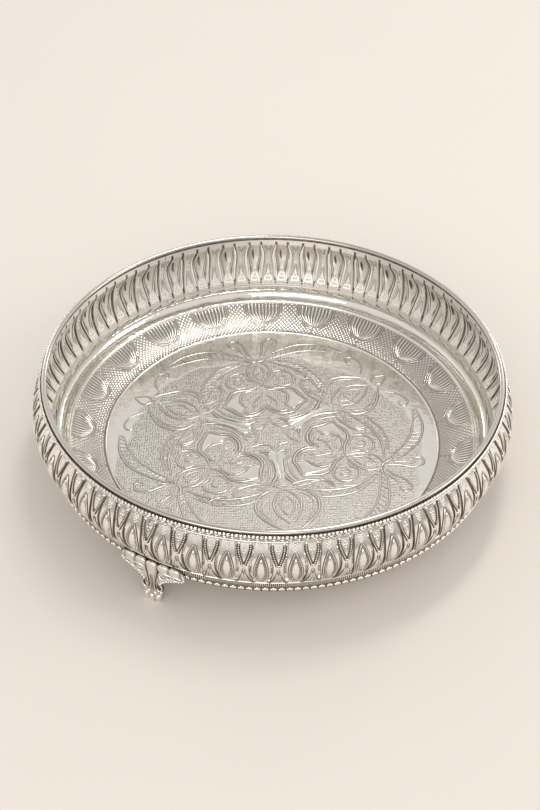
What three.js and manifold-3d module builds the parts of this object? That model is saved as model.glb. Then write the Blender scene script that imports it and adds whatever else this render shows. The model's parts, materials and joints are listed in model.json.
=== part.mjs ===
// Round footed tray: a pressed pan inside a pierced, barrel-shaped gallery on three cast feet.
// Millimetres, +Z up. The soles stand on z = 0, the axis is Z, and the front is towards -Y.
import * as THREE from 'three';
import { mergeVertices } from 'three/addons/utils/BufferGeometryUtils.js';
import Module from 'manifold-3d';

const wasm = await Module();
wasm.setup();

// Gallery heights, stacked from the soles up
const undersideHeight = 23;
const baseRailHeight = 8.3;
const slotHeight = 33.2;
const topRailHeight = 4.4;

// Gallery section
const rimDiameter = 281.2; // centreline of the rim ring
const bellyDepth = 9.4; // how far the marquises stand out past that centreline
const galleryWall = 2.2;
const shoulder = 1.4; // slot ends outside the centreline
const beadProud = 2.0; // lower bead moulding outside the centreline
const beadDepth = 1.6; // how far the bead moulding stands out from the rail
const beadHeight = 3.6;
const baseRailWidth = 4.7; // from the bead moulding in to the back of the base rail
const ledgeHeight = 6.3; // pan seat above the gallery's underside
const topMouldingProud = 2.6;
const topMouldingRise = 2.4; // widest part of the top moulding over the slots

// Gallery pattern
const footCount = 3;
const motifPitch = 18.4; // wanted spacing, rounded to fill each gallery section
const marquisePlateWidth = 9.2;
const marquiseEndWidth = 7;
const marquiseWidth = 7.7;
const marquiseTipWidth = 0.9;
const marquiseHeight = 1.4;
const marquiseEndHeight = 0.42;
const marquiseFlank = 0.7; // share of the height that is left at its edges
const slotWidth = 2.4;
const slotEndWidth = 1.5;
const ridgeHeight = 0.9;
const ridgeEndHeight = 0.45;
const ridgeWaist = 1.1;
const ridgeSpread = 6.6;
const jointGap = 0.3;
const slotLevels = [0, 0.22, 0.5, 0.78, 1]; // rows of points, as shares of the slots' height

// Rim ring on its neck
const ringWidth = 3.6;
const ringHeight = 2;
const ringFlank = 0.7; // upright part of the ring's sides
const neckWidth = 1.8;
const neckHeight = 1;

// Pan
const sheet = 1.2;
const lipWidth = 2.7;
const bandWidth = 7.6;
const bandRise = 6.8;
const bandPower = 3; // 1 gives a plain cone, more leaves it level at the lip
const cavettoWidth = 23.3;
const cavettoRise = 8.6;
const cavettoPower = 1.5; // 1 gives a plain cone, more leaves it level at the floor
const pressedRing = 0.6; // height of the two raised lines
const pressedRingWidth = 1.6;

// Feet
const footAzimuth = -28.2; // first foot, in degrees from the front towards +X
const bracketWidth = 42;
const bracketThickness = 3;
const bracketEndHeight = 6;
const bracketLobes = 5;
const lobeDepth = 1.3;
const wingDrop = 6;
const kneeWidth = 10.5;
const ankleWidth = 7;
const ankleHeight = 10;
const ankleInset = 0.4; // behind the bracket's face
const kneeProud = 1; // before the bracket's face
const toeWidth = 11.6;
const toeDepth = 8;
const toeProud = 0.6; // before the bracket's face
const soleWidth = 9.3;
const toeSwell = 3.2; // height of the toe's widest part
const instepHeight = 6.4;
const knobDiameter = 5.3;
const knobSpacing = 3.8;
const knobSink = 0.6; // share of a knob's radius behind the toe's face

// Foot screws
const screwDiameter = 2.5;
const screwHeadDiameter = 4.2;
const screwHeadHeight = 1.5;
const screwHeadBevel = 0.5;
const screwBite = 2; // length inside the foot
const screwInset = 7.5; // from the tip of the bracket's wing
const screwRise = 2.9; // axis above the gallery's underside

// Clearances and fineness
const fit = 0.3; // between curved faces
const seat = 0.1; // between flat faces that rest on each other
const drill = 0.25; // round a screw
const overrun = 1; // how far a cut runs past the face that it opens
const turnedSides = 58;
const ringSteps = 3;
const sideSteps = 3;
const bandSteps = 2;
const legSides = 8;
const screwFacets = 8;

const degree = Math.PI / 180;
const rimRadius = rimDiameter / 2;
const slotBottom = undersideHeight + baseRailHeight;
const slotTop = slotBottom + slotHeight;
const railTop = slotTop + topRailHeight;
const neckTop = railTop + neckHeight;
const ringBottom = neckTop + seat;
const beadRadius = rimRadius + beadProud;
const slotEndRadius = rimRadius + shoulder;
const bellyRadius = rimRadius + bellyDepth - marquiseHeight;
const motifsPerSection = Math.round((2 * Math.PI * rimRadius) / (footCount * motifPitch));
const pitchAngle = (2 * Math.PI) / (footCount * motifsPerSection);
const ledgeTop = undersideHeight + ledgeHeight;
const ledgeWallRadius = slotEndRadius - galleryWall;
const baseRailInner = beadRadius - baseRailWidth;
const footFaceRadius = beadRadius + fit;
const soleRadius = footFaceRadius + bracketThickness - toeDepth / 2;

const silver = { color: 0xc9c2b8, roughness: 0.28, metalness: 1 };
const castSilver = { color: 0xbfb7ab, roughness: 0.36, metalness: 1 };
const steel = { color: 0x9a9a98, roughness: 0.4, metalness: 1 };

// A point by its azimuth from the front, its radius and its height
function polar(azimuth, radius, z) {
  return [radius * Math.sin(azimuth), -radius * Math.cos(azimuth), z];
}

// Triangles gathered from numbered points
class Faces {
  constructor() {
    this.points = [];
    this.triangles = [];
  }

  point(azimuth, radius, z) {
    this.points.push(...polar(azimuth, radius, z));
    return { index: this.points.length / 3 - 1, azimuth, radius, z };
  }

  triangle(a, b, c) {
    this.triangles.push(a.index, b.index, c.index);
  }

  quad(a, b, c, d) {
    this.triangle(a, b, c);
    this.triangle(a, c, d);
  }

  // Joins two rows of points that may hold different numbers of columns
  stitch(lower, upper) {
    let i = 0;
    let j = 0;
    while (i < lower.length - 1 || j < upper.length - 1) {
      const lowerNext = i < lower.length - 1 ? lower[i + 1].azimuth : Infinity;
      const upperNext = j < upper.length - 1 ? upper[j + 1].azimuth : Infinity;
      if (lowerNext <= upperNext) {
        this.triangle(lower[i], lower[i + 1], upper[j]);
        i += 1;
      } else {
        this.triangle(lower[i], upper[j + 1], upper[j]);
        j += 1;
      }
    }
  }

  // Closes the end of a run of rows with the section that the points draw
  cap(section, facesForward) {
    const outline = section.map((p) => new THREE.Vector2(p.radius, p.z));
    for (const [a, b, c] of THREE.ShapeUtils.triangulateShape(outline, [])) {
      const [p, q, r] = [outline[a], outline[b], outline[c]];
      const turn = (q.x - p.x) * (r.y - p.y) - (q.y - p.y) * (r.x - p.x);
      if (turn > 0 === facesForward) this.triangle(section[a], section[c], section[b]);
      else this.triangle(section[a], section[b], section[c]);
    }
  }

  geometry() {
    return indexedGeometry(this.points, this.triangles);
  }
}

function indexedGeometry(points, triangles) {
  const geometry = new THREE.BufferGeometry();
  geometry.setAttribute('position', new THREE.Float32BufferAttribute(points, 3));
  geometry.setIndex(triangles);
  return geometry;
}

// Solid for joining and cutting, from any closed geometry
function solid(geometry) {
  const bare = geometry.clone();
  bare.deleteAttribute('normal');
  bare.deleteAttribute('uv');
  const merged = mergeVertices(bare, 1e-4);
  const vertProperties = new Float32Array(merged.attributes.position.array);
  const triVerts = new Uint32Array(merged.index.array);
  return new wasm.Manifold(new wasm.Mesh({ numProp: 3, vertProperties, triVerts }));
}

function geometryOf(manifold) {
  const mesh = manifold.getMesh();
  return indexedGeometry(Array.from(mesh.vertProperties), Array.from(mesh.triVerts));
}

// Turned piece whose closed profile of [radius, z] pairs runs up its outer side
function turned(profile, sides) {
  const points = profile.map(([radius, z]) => new THREE.Vector2(radius, z));
  const geometry = new THREE.LatheGeometry(points, sides);
  geometry.rotateX(Math.PI / 2);
  return geometry;
}

function part(name, geometry, finish) {
  geometry.deleteAttribute('normal');
  const shaded = geometry.toNonIndexed();
  shaded.computeVertexNormals();
  const mesh = new THREE.Mesh(shaded, new THREE.MeshStandardMaterial(finish));
  mesh.name = name;
  return mesh;
}

// Screw holes stand either side of a foot's centre, at the same height in the rail and the foot
const screwAngle = (bracketWidth / 2 - screwInset) / footFaceRadius;
const screwHeight = undersideHeight + screwRise;

function screwHole(azimuth, from, to) {
  const radius = screwDiameter / 2 + drill;
  const hole = new THREE.CylinderGeometry(radius, radius, to - from, screwFacets);
  const [x, y, z] = polar(azimuth, (from + to) / 2, screwHeight);
  hole.rotateZ(azimuth);
  hole.translate(x, y, z);
  return solid(hole);
}

// Gallery section, with its marquises, its waisted V bars and the slots between them
const bellyAngle = (width) => width / bellyRadius;
const swell = (t) => Math.sin(Math.PI * t);
const plateHalf = (t) => {
  const half = marquiseEndWidth / 2 + ((marquisePlateWidth - marquiseEndWidth) / 2) * swell(t);
  return bellyAngle(half);
};
const slotAngle = (t) => bellyAngle(slotEndWidth + (slotWidth - slotEndWidth) * swell(t));
const plateRadius = (t) => slotEndRadius + (bellyRadius - slotEndRadius) * swell(t);
const marquiseHalf = (t) => bellyAngle(Math.max(marquiseWidth * swell(t), marquiseTipWidth) / 2);
const marquiseProud = (t) => marquiseEndHeight + (marquiseHeight - marquiseEndHeight) * swell(t);
const ridgeHalf = (t) => {
  const spread = Math.abs(2 * t - 1);
  return bellyAngle(ridgeWaist / 2 + ((ridgeSpread - ridgeWaist) / 2) * spread);
};
const ridgeProud = (t) => ridgeEndHeight + (ridgeHeight - ridgeEndHeight) * swell(t);

// Columns of one motif: azimuth from the marquise's centre, and height above the plate
function outerColumns(t) {
  const edge = plateHalf(t);
  const rim = marquiseHalf(t);
  const far = edge + slotAngle(t);
  const ridge = pitchAngle / 2 - ridgeHalf(t);
  return [
    { at: -ridge, proud: ridgeProud(t) },
    { at: -far, proud: 0, slot: true },
    { at: -edge, proud: 0 },
    { at: -rim, proud: marquiseProud(t) * marquiseFlank },
    { at: 0, proud: marquiseProud(t) },
    { at: rim, proud: marquiseProud(t) * marquiseFlank },
    { at: edge, proud: 0, slot: true },
    { at: far, proud: 0 },
    { at: ridge, proud: ridgeProud(t) },
    { at: pitchAngle / 2, proud: ridgeProud(t) * swell(t) },
  ];
}

function innerColumns(t) {
  const edge = plateHalf(t);
  const far = edge + slotAngle(t);
  return [
    { at: -far, proud: 0, slot: true },
    { at: -edge, proud: 0 },
    { at: edge, proud: 0, slot: true },
    { at: far, proud: 0 },
  ];
}

function gallerySection() {
  const faces = new Faces();
  const end = (motifsPerSection * pitchAngle) / 2 - jointGap / 2 / rimRadius;

  // Row with two points for each motif
  const railRow = (radius, z) => {
    const row = [faces.point(-end, radius, z)];
    for (let k = 1; k < 2 * motifsPerSection; k += 1) {
      row.push(faces.point((k - motifsPerSection) * (pitchAngle / 2), radius, z));
    }
    row.push(faces.point(end, radius, z));
    return row;
  };

  // Row through the bars, with every column of every motif
  const barRow = (t, columns, depth) => {
    const z = slotBottom + slotHeight * t;
    const radius = plateRadius(t) - depth;
    const row = [faces.point(-end, radius, z)];
    for (let k = 0; k < motifsPerSection; k += 1) {
      const centre = (k + 0.5 - motifsPerSection / 2) * pitchAngle;
      for (const column of columns(t)) {
        const azimuth = centre + column.at;
        if (azimuth > end) continue;
        row.push({ ...faces.point(azimuth, radius + column.proud, z), slot: column.slot });
      }
    }
    row.push(faces.point(end, radius, z));
    return row;
  };

  const outerBars = slotLevels.map((t) => barRow(t, outerColumns, 0));
  const innerBars = slotLevels.map((t) => barRow(t, innerColumns, galleryWall));
  innerBars.reverse();

  // The section's rows in order: up the outside, over the neck and down the inside
  const rows = [
    railRow(beadRadius - beadDepth, undersideHeight),
    railRow(beadRadius, undersideHeight + beadHeight / 2),
    railRow(beadRadius - beadDepth, undersideHeight + beadHeight),
    ...outerBars,
    railRow(rimRadius + topMouldingProud, slotTop + topMouldingRise),
    railRow(rimRadius + topMouldingProud / 2, railTop),
    railRow(rimRadius + neckWidth / 2, railTop),
    railRow(rimRadius + neckWidth / 2, neckTop),
    railRow(rimRadius - neckWidth / 2, neckTop),
    ...innerBars,
    railRow(ledgeWallRadius, ledgeTop),
    railRow(baseRailInner, ledgeTop),
    railRow(baseRailInner, undersideHeight),
  ];

  const bars = new Set([...outerBars, ...innerBars]);
  rows.forEach((row, k) => {
    const next = rows[(k + 1) % rows.length];
    if (bars.has(row) && bars.has(next)) stitchBars(faces, row, next);
    else faces.stitch(row, next);
  });
  cutSlots(faces, outerBars, [...innerBars].reverse());
  faces.cap(rows.map((row) => row[0]), false);
  faces.cap(rows.map((row) => row[row.length - 1]), true);

  const holes = [-1, 1].map((side) => {
    const azimuth = side * ((motifsPerSection * pitchAngle) / 2 - screwAngle);
    return screwHole(azimuth, baseRailInner - overrun, beadRadius + overrun);
  });
  return geometryOf(holes.reduce((body, hole) => body.subtract(hole), solid(faces.geometry())));
}

function stitchBars(faces, lower, upper) {
  for (let k = 0; k < lower.length - 1; k += 1) {
    if (!lower[k].slot) faces.quad(lower[k], lower[k + 1], upper[k + 1], upper[k]);
  }
}

// Walls of the slots, between the outer and the inner face of the gallery
function cutSlots(faces, outer, inner) {
  const slotColumns = (row) => row.flatMap((p, k) => (p.slot ? [k] : []));
  const outerSlots = slotColumns(outer[0]);
  const innerSlots = slotColumns(inner[0]);
  const top = outer.length - 1;
  outerSlots.forEach((o, n) => {
    const i = innerSlots[n];
    faces.quad(outer[0][o], outer[0][o + 1], inner[0][i + 1], inner[0][i]);
    faces.quad(outer[top][o], inner[top][i], inner[top][i + 1], outer[top][o + 1]);
    for (let k = 0; k < top; k += 1) {
      faces.quad(outer[k][o], inner[k][i], inner[k + 1][i], outer[k + 1][o]);
      faces.quad(outer[k][o + 1], outer[k + 1][o + 1], inner[k + 1][i + 1], inner[k][i + 1]);
    }
  });
}

// Rim ring, a half-round hoop that overhangs the neck on both sides
function rimRing() {
  const half = ringWidth / 2;
  const profile = [[rimRadius - half, ringBottom], [rimRadius + half, ringBottom]];
  for (let k = 0; k <= ringSteps; k += 1) {
    const angle = (Math.PI * k) / ringSteps;
    const rise = ringFlank + (ringHeight - ringFlank) * Math.sin(angle);
    profile.push([rimRadius + half * Math.cos(angle), ringBottom + rise]);
  }
  profile.push(profile[0]);
  return turned(profile, turnedSides);
}

// Pan, pressed from one sheet: floor, raised ring, hollow side, raised line, band and lip
function pan() {
  const lipTop = ledgeTop + seat + sheet;
  const lipOuter = ledgeWallRadius - fit;
  const bandOuter = lipOuter - lipWidth;
  const lineRadius = bandOuter - bandWidth;
  const lineHeight = lipTop - bandRise;
  const floorRadius = lineRadius - cavettoWidth;
  const floorHeight = lineHeight - cavettoRise;
  const halfRing = pressedRingWidth / 2;

  // Hollow side: level at the floor and steepest at the raised line
  const side = [];
  for (let k = 1; k < sideSteps; k += 1) {
    const across = k / sideSteps;
    const rise = cavettoRise * across ** cavettoPower;
    side.push([floorRadius + halfRing + (cavettoWidth - pressedRingWidth) * across, floorHeight + rise]);
  }

  // Band: steepest at the raised line and level at the lip
  const bandInner = lineRadius + halfRing;
  const bandFoot = lineHeight + pressedRing / 2;
  const band = [];
  for (let k = 1; k < bandSteps; k += 1) {
    const left = 1 - k / bandSteps;
    band.push([bandOuter - (bandOuter - bandInner) * left, lipTop - (lipTop - bandFoot) * left ** bandPower]);
  }
  const face = [
    [0, floorHeight],
    [floorRadius - halfRing, floorHeight],
    [floorRadius, floorHeight + pressedRing],
    [floorRadius + halfRing, floorHeight],
    ...side,
    [lineRadius - halfRing, lineHeight],
    [lineRadius, lineHeight + pressedRing],
    [bandInner, bandFoot],
    ...band,
    [bandOuter, lipTop],
    [lipOuter, lipTop],
  ];
  return turned([...underside(face, sheet), ...face.reverse()], turnedSides);
}

// The same profile moved one sheet thickness away from its upper face
function underside(face, thickness) {
  return face.map(([radius, z], k) => {
    const before = face[Math.max(k - 1, 0)];
    const after = face[Math.min(k + 1, face.length - 1)];
    const run = [after[0] - before[0], after[1] - before[1]];
    const length = Math.hypot(run[0], run[1]);
    const atEnd = k === 0 || k === face.length - 1;
    const shift = atEnd ? 0 : (thickness * run[1]) / length;
    const drop = atEnd ? thickness : (thickness * run[0]) / length;
    return [radius + shift, z - drop];
  });
}

// Foot bracket: a lobed plate bent round the base rail, with a raised scroll along its lower edge
function bracket() {
  const faces = new Faces();
  const columns = 3 * bracketLobes;
  const top = slotBottom - fit - lobeDepth / 2;
  const bottom = top - bracketEndHeight - wingDrop;
  const rows = [[], [], [], [], [], []];
  for (let k = 0; k <= columns; k += 1) {
    const across = k / columns;
    const lobe = Math.abs(Math.sin(Math.PI * bracketLobes * across));
    const wing = Math.abs(2 * across - 1);
    const lower = bottom + wingDrop * Math.sin((Math.PI / 2) * wing);
    const upper = top - lobeDepth * (1 - lobe);
    const azimuth = ((across - 0.5) * bracketWidth) / footFaceRadius;
    const front = footFaceRadius + bracketThickness;
    rows[0].push(faces.point(azimuth, footFaceRadius, lower));
    rows[1].push(faces.point(azimuth, front, lower));
    rows[2].push(faces.point(azimuth, front - lobeDepth / 2, lower + bracketEndHeight / 3));
    rows[3].push(faces.point(azimuth, front - lobeDepth * (1 - lobe) / 2, (lower + 2 * upper) / 3));
    rows[4].push(faces.point(azimuth, front - lobeDepth / 2, upper));
    rows[5].push(faces.point(azimuth, footFaceRadius, upper));
  }
  rows.forEach((row, k) => faces.stitch(row, rows[(k + 1) % rows.length]));
  faces.cap(rows.map((row) => row[0]), false);
  faces.cap(rows.map((row) => row[columns]), true);
  return solid(faces.geometry());
}

// Leg: eight-sided sections from the knee, in at the ankle and out again to the toe
function leg() {
  const knee = slotBottom - bracketEndHeight;
  const back = footFaceRadius;
  const front = footFaceRadius + bracketThickness;
  const heel = soleRadius - toeDepth / 2;
  const stations = [
    { z: 0, width: soleWidth, back: heel, front: soleRadius + toeDepth / 2 },
    { z: toeSwell, width: toeWidth, back: heel, front: front + toeProud },
    { z: instepHeight, width: soleWidth, back: back - toeDepth / 4, front },
    { z: ankleHeight, width: ankleWidth, back: back - toeDepth / 8, front: front - ankleInset },
    { z: knee, width: kneeWidth, back: back + seat, front: front + kneeProud },
  ];
  const faces = new Faces();
  const corner = 1 / Math.cos(Math.PI / legSides);
  const rings = stations.map((station) => {
    const ring = [];
    for (let k = 0; k < legSides; k += 1) {
      const angle = (2 * Math.PI * (k + 0.5)) / legSides;
      const middle = (station.front + station.back) / 2;
      const radius = middle + ((station.front - station.back) / 2) * corner * Math.cos(angle);
      const along = (station.width / 2) * corner * Math.sin(angle);
      ring.push(faces.point(along / footFaceRadius, radius, station.z));
    }
    return ring;
  });
  for (let level = 0; level < rings.length - 1; level += 1) {
    for (let k = 0; k < legSides; k += 1) {
      const next = (k + 1) % legSides;
      faces.quad(rings[level][k], rings[level][next], rings[level + 1][next], rings[level + 1][k]);
    }
  }
  const last = rings[rings.length - 1];
  for (let k = 1; k < legSides - 1; k += 1) {
    faces.triangle(rings[0][0], rings[0][k + 1], rings[0][k]);
    faces.triangle(last[0], last[k], last[k + 1]);
  }
  return solid(faces.geometry());
}

function toeKnobs() {
  const knobRadius = knobDiameter / 2;
  return [-1, 0, 1].map((side) => {
    const knob = new THREE.SphereGeometry(knobRadius, 6, 4);
    knob.rotateX(Math.PI / 2);
    const azimuth = (side * knobSpacing) / footFaceRadius;
    const middle = soleRadius + toeDepth / 2 - knobRadius * knobSink;
    const [x, y, z] = polar(azimuth, middle, knobRadius + seat);
    knob.translate(x, y, z);
    return solid(knob);
  });
}

function foot() {
  let body = bracket().add(leg());
  for (const knob of toeKnobs()) body = body.add(knob);
  for (const side of [-1, 1]) {
    const bottomOfHole = footFaceRadius + screwBite + drill;
    body = body.subtract(screwHole(side * screwAngle, footFaceRadius - overrun, bottomOfHole));
  }
  return geometryOf(body);
}

// Foot screw, turned about its own axis, with the tip at the far end of the bite
function screw() {
  const grip = footFaceRadius - baseRailInner + screwBite - fit;
  const profile = [
    [0, -screwHeadHeight],
    [screwHeadDiameter / 2 - screwHeadBevel, -screwHeadHeight],
    [screwHeadDiameter / 2, 0],
    [screwDiameter / 2, 0],
    [screwDiameter / 2, grip],
    [0, grip],
  ];
  return turned(profile, screwFacets);
}

const tray = new THREE.Group();
tray.add(part('tray_pan', pan(), silver));
tray.add(part('rim_ring', rimRing(), silver));

const places = ['front_left', 'right', 'back_left'];
const sectionPlaces = ['front', 'back_right', 'back_left'];
const screwSides = ['a', 'b'];
const sectionAngle = (2 * Math.PI) / footCount;

for (let k = 0; k < footCount; k += 1) {
  const azimuth = footAzimuth * degree + k * sectionAngle;

  const section = part(`gallery_${sectionPlaces[k]}`, gallerySection(), castSilver);
  section.rotation.z = azimuth + sectionAngle / 2;
  tray.add(section);

  const footGroup = new THREE.Group();
  footGroup.rotation.z = azimuth;
  footGroup.add(part(`foot_${places[k]}`, foot(), castSilver));
  screwSides.forEach((name, n) => {
    const turn = new THREE.Group();
    turn.rotation.z = (2 * n - 1) * screwAngle;
    const piece = part(`foot_screw_${places[k]}_${name}`, screw(), steel);
    piece.rotation.x = Math.PI / 2;
    piece.position.set(0, -(baseRailInner - fit), screwHeight);
    turn.add(piece);
    footGroup.add(turn);
  });
  tray.add(footGroup);
}

export default tray;
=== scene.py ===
import json
from math import cos, hypot, pi, radians, sin

import bmesh
import bpy
import numpy as np
from bpy.props import FloatProperty, FloatVectorProperty, IntProperty, PointerProperty
from bpy.types import Operator, Panel, PropertyGroup
from mathutils import Euler, Matrix, Vector


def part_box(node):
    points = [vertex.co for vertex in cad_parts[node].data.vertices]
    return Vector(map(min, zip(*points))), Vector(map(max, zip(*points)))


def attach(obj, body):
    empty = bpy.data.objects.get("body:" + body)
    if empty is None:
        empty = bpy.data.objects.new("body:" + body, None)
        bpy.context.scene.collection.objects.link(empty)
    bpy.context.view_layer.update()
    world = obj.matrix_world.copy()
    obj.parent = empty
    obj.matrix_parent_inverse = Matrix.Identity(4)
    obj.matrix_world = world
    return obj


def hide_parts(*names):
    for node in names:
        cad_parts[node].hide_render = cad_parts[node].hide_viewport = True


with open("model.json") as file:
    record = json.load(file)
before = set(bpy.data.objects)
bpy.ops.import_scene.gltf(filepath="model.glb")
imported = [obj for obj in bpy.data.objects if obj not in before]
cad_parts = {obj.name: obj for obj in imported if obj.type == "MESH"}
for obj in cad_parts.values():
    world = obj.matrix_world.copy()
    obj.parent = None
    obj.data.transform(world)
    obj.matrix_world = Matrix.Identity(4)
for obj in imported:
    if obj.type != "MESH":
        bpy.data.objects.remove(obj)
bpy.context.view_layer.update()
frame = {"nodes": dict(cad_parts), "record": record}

bl_info = {
    "name": "Footed gallery tray",
    "version": (1, 0, 0),
    "blender": (4, 5, 0),
    "location": "View3D > Sidebar > Tray",
    "description": "Builds the looks of a round silver tray with a pierced gallery on three cast feet",
    "category": "Object",
}

mm = 0.001

# Points nearer than this are one, and edges that bend more than this are sharp
merged = 0.5e-6
sharp = radians(48)

# Places that the frame gives
pan_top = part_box("tray_pan")[1].z
rim_low, rim_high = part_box("rim_ring")
gallery_low, gallery_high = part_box("gallery_front")
mounts = {mount["name"]: mount for mount in frame["record"]["mounts"]}
floor_height = mounts["tray_floor"]["pos_m"][2]
gallery_top = gallery_high.z
underside = gallery_low.z


def length(name, description, default):
    return FloatProperty(
        name=name, description=description, default=default, min=0.0, unit="LENGTH", precision=5
    )


def angle(name, description, default):
    return FloatProperty(name=name, description=description, default=default, unit="ROTATION")


def share(name, description, default):
    return FloatProperty(
        name=name, description=description, default=default, min=0.0, max=1.0, subtype="FACTOR"
    )


def colour(name, description, default):
    return FloatVectorProperty(
        name=name, description=description, default=default, size=3, min=0.0, max=1.0, subtype="COLOR"
    )


def count(name, description, default):
    return IntProperty(name=name, description=description, default=default, min=1)


class PanSizes(PropertyGroup):
    sheet: length("Sheet", "Thickness of the pressed sheet", 1.2 * mm)
    floor_radius: length("Floor radius", "Middle of the pressed ring round the floor", 105.9 * mm)
    ring: length("Ring", "Height of the two raised lines", 0.6 * mm)
    ring_width: length("Ring width", "Width of the two raised lines", 1.6 * mm)
    side_width: length("Side width", "From the floor's ring out to the raised line", 23.3 * mm)
    margin: length("Margin", "Plain polished margin inside the floor's ring", 9 * mm)
    stipple_shift: length("Stipple shift", "How far the stippled circle is set to the front", 19 * mm)
    stipple_wander: length("Stipple wander", "How far the stipple's edge wanders", 24 * mm)
    pit: length("Pit", "Spacing of the stipple's pits", 1.45 * mm)
    pit_depth: length("Pit depth", "Depth of the stipple's pits", 0.05 * mm)
    waviness: length("Waviness", "Unevenness of the plain metal", 0.25 * mm)
    band_width: length("Band width", "Plain polished band, seen from above", 7.6 * mm)
    band_rise: length("Band rise", "Height that the polished band climbs", 6.8 * mm)
    lip_width: length("Lip width", "Flat lip that lies on the gallery's ledge", 2.7 * mm)
    floor_turn: angle("Floor turn", "Azimuth of the first blossom, from the front", radians(189))
    line: length("Chased line", "Width of a chased line of weight 1", 0.85 * mm)
    line_height: length("Line height", "Height of a chased line", 0.16 * mm)
    fans: count("Fans", "Fans round the side", 21)
    fan_turn: angle("Fan turn", "Azimuth of the first fan, from the front", radians(183.7))
    fan_width: length("Fan width", "Widest part of a fan", 24 * mm)
    fan_ribs: count("Fan ribs", "Ribs in a fan", 9)
    dot_pitch: length("Dot pitch", "Spacing of the lattice dots along a row", 2.8 * mm)
    dot_rise: length("Dot rows", "Spacing of the lattice's rows", 1.35 * mm)
    dot: length("Dot", "Radius of a lattice dot", 0.95 * mm)


class GallerySizes(PropertyGroup):
    base_rail: length("Base rail", "Height of the rail under the slots", 8.3 * mm)
    top_rail: length("Top rail", "Height of the rail above the slots", 4.4 * mm)
    neck: length("Neck", "Height of the neck under the rim", 1 * mm)
    neck_width: length("Neck width", "Width of the neck under the rim", 1.8 * mm)
    rim_radius: length("Rim radius", "Centreline of the rim", 140.6 * mm)
    shoulder: length("Shoulder", "Slot ends outside that centreline", 1.4 * mm)
    belly: length("Belly", "Most that the plates stand outside that centreline", 8 * mm)
    wall: length("Wall", "Thickness of the plates", 2.2 * mm)
    ledge: length("Ledge", "Pan seat above the underside", 6.3 * mm)
    ledge_inner: length("Ledge inner", "Inner radius of the base rail", 137.9 * mm)
    bead_reach: length("Bead reach", "Outer radius of the lower bead row", 142.6 * mm)
    motifs: count("Motifs", "Marquises in a section", 16)
    first_joint: angle("First joint", "Azimuth of the first section's joint", radians(-28.2))
    joint: length("Joint", "Gap between two sections", 0.3 * mm)
    plate_end: length("Plate end", "Half width of a marquise's plate at its ends", 3.65 * mm)
    plate_half: length("Plate half", "Half width of a marquise's plate at its middle", 4.95 * mm)
    slot_end: length("Slot end", "Width of a slot at its ends", 1.2 * mm)
    slot: length("Slot", "Width of a slot between its cast edges, at its middle", 1.7 * mm)
    sway: length("Sway", "How far a slot swings to and fro", 0.4 * mm)
    marquise: length("Marquise", "Half width of a marquise over its outer ridge", 4.1 * mm)
    marquise_foot: share("Marquise foot", "Lower tip, as a share of the slots' height", 0.09)
    marquise_tip: share("Marquise tip", "Upper tip, as a share of the slots' height", 0.83)
    dome: length("Dome", "Height of a marquise's polished middle", 1.2 * mm)
    bead: length("Bead", "Radius of the small beads", 0.36 * mm)


class FootSizes(PropertyGroup):
    face: length("Face", "Radius of the face that lies on the gallery", 142.9 * mm)
    thickness: length("Thickness", "Thickness of the bracket", 2.0 * mm)
    half: length("Half width", "From the foot's middle to the tip of a wing", 21 * mm)
    lobe: length("Lobe", "Width of a lobe", 7.4 * mm)
    bulge: length("Bulge", "How far a lobe swells", 0.45 * mm)
    top: length("Top", "Height of the lobes over the soles", 31.1 * mm)
    notch: length("Notch", "Depth of the notches between the lobes", 1.5 * mm)
    toe: length("Toe", "Half width of the toe", 5.6 * mm)
    ankle: length("Ankle", "Half width of the ankle", 3.3 * mm)


class Finishes(PropertyGroup):
    silver: colour("Silver", "Silver of the chased lines", (0.86, 0.835, 0.80))
    # Painted shade: the rim's silver is set darker to stand for the darker reflection it shows
    rim: colour("Rim silver", "Polished silver of the rim, a little darker", (0.66, 0.64, 0.605))
    cast: colour("Cast silver", "Bright silver of the castings and the pan's margin", (0.94, 0.915, 0.88))
    # Colour of the darkening: tarnish in the hollows, and painted shade where hollows, slots and gaps are
    # shaded
    tarnish_and_painted_shade: colour("Tarnish", "Darkened silver in the hollows", (0.12, 0.093, 0.062))
    ground: colour("Ground", "Stippled ground of the pan", (0.81, 0.785, 0.75))
    steel: colour("Steel", "Foot screws", (0.55, 0.55, 0.54))
    cloth: colour("Table", "Pale table top", (0.83, 0.775, 0.72))


class StageSizes(PropertyGroup):
    distance: length("Distance", "From the camera to the middle of the rim", 998 * mm)
    height: angle("Height", "Camera's angle above the rim's plane", radians(39.84))
    tilt: angle("Tilt", "Camera's pitch below the horizon", radians(41.14))
    turn: angle("Turn", "Camera's turn to the left", radians(0.124))
    roll: angle("Roll", "Camera's roll", radians(0.81))
    lens: FloatProperty(name="Lens", description="Focal length in millimetres", default=71.95)


def polar(azimuth, radius, z):
    """A point by its azimuth from the front (-Y) towards +X, its radius and its height"""
    return np.array((radius * sin(azimuth), -radius * cos(azimuth), z))


def smooth(points, steps=7):
    """A smooth run through given points"""
    points = [np.array(p, float) for p in points]
    ends = [2 * points[0] - points[1], *points, 2 * points[-1] - points[-2]]
    run = []
    for a, b, c, d in zip(ends, ends[1:], ends[2:], ends[3:]):
        for k in range(steps):
            s = k / steps
            bend = 2 * b + (c - a) * s + (2 * a - 5 * b + 4 * c - d) * s**2
            run.append(0.5 * (bend + (3 * b - a - 3 * c + d) * s**3))
    return [*run, points[-1]]


def spaced(run, spacing):
    """Points at an even spacing along a run of points"""
    run = np.array(run)
    along = np.concatenate(([0], np.cumsum(np.linalg.norm(np.diff(run, axis=0), axis=1))))
    places = np.linspace(0, along[-1], max(2, round(along[-1] / spacing) + 1))
    return np.stack([np.interp(places, along, run[:, k]) for k in range(run.shape[1])], axis=1)


def fade(x, low, high):
    """Eases from 0 at low to 1 at high"""
    s = np.clip((x - low) / (high - low), 0, 1)
    return s * s * (3 - 2 * s)


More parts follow.
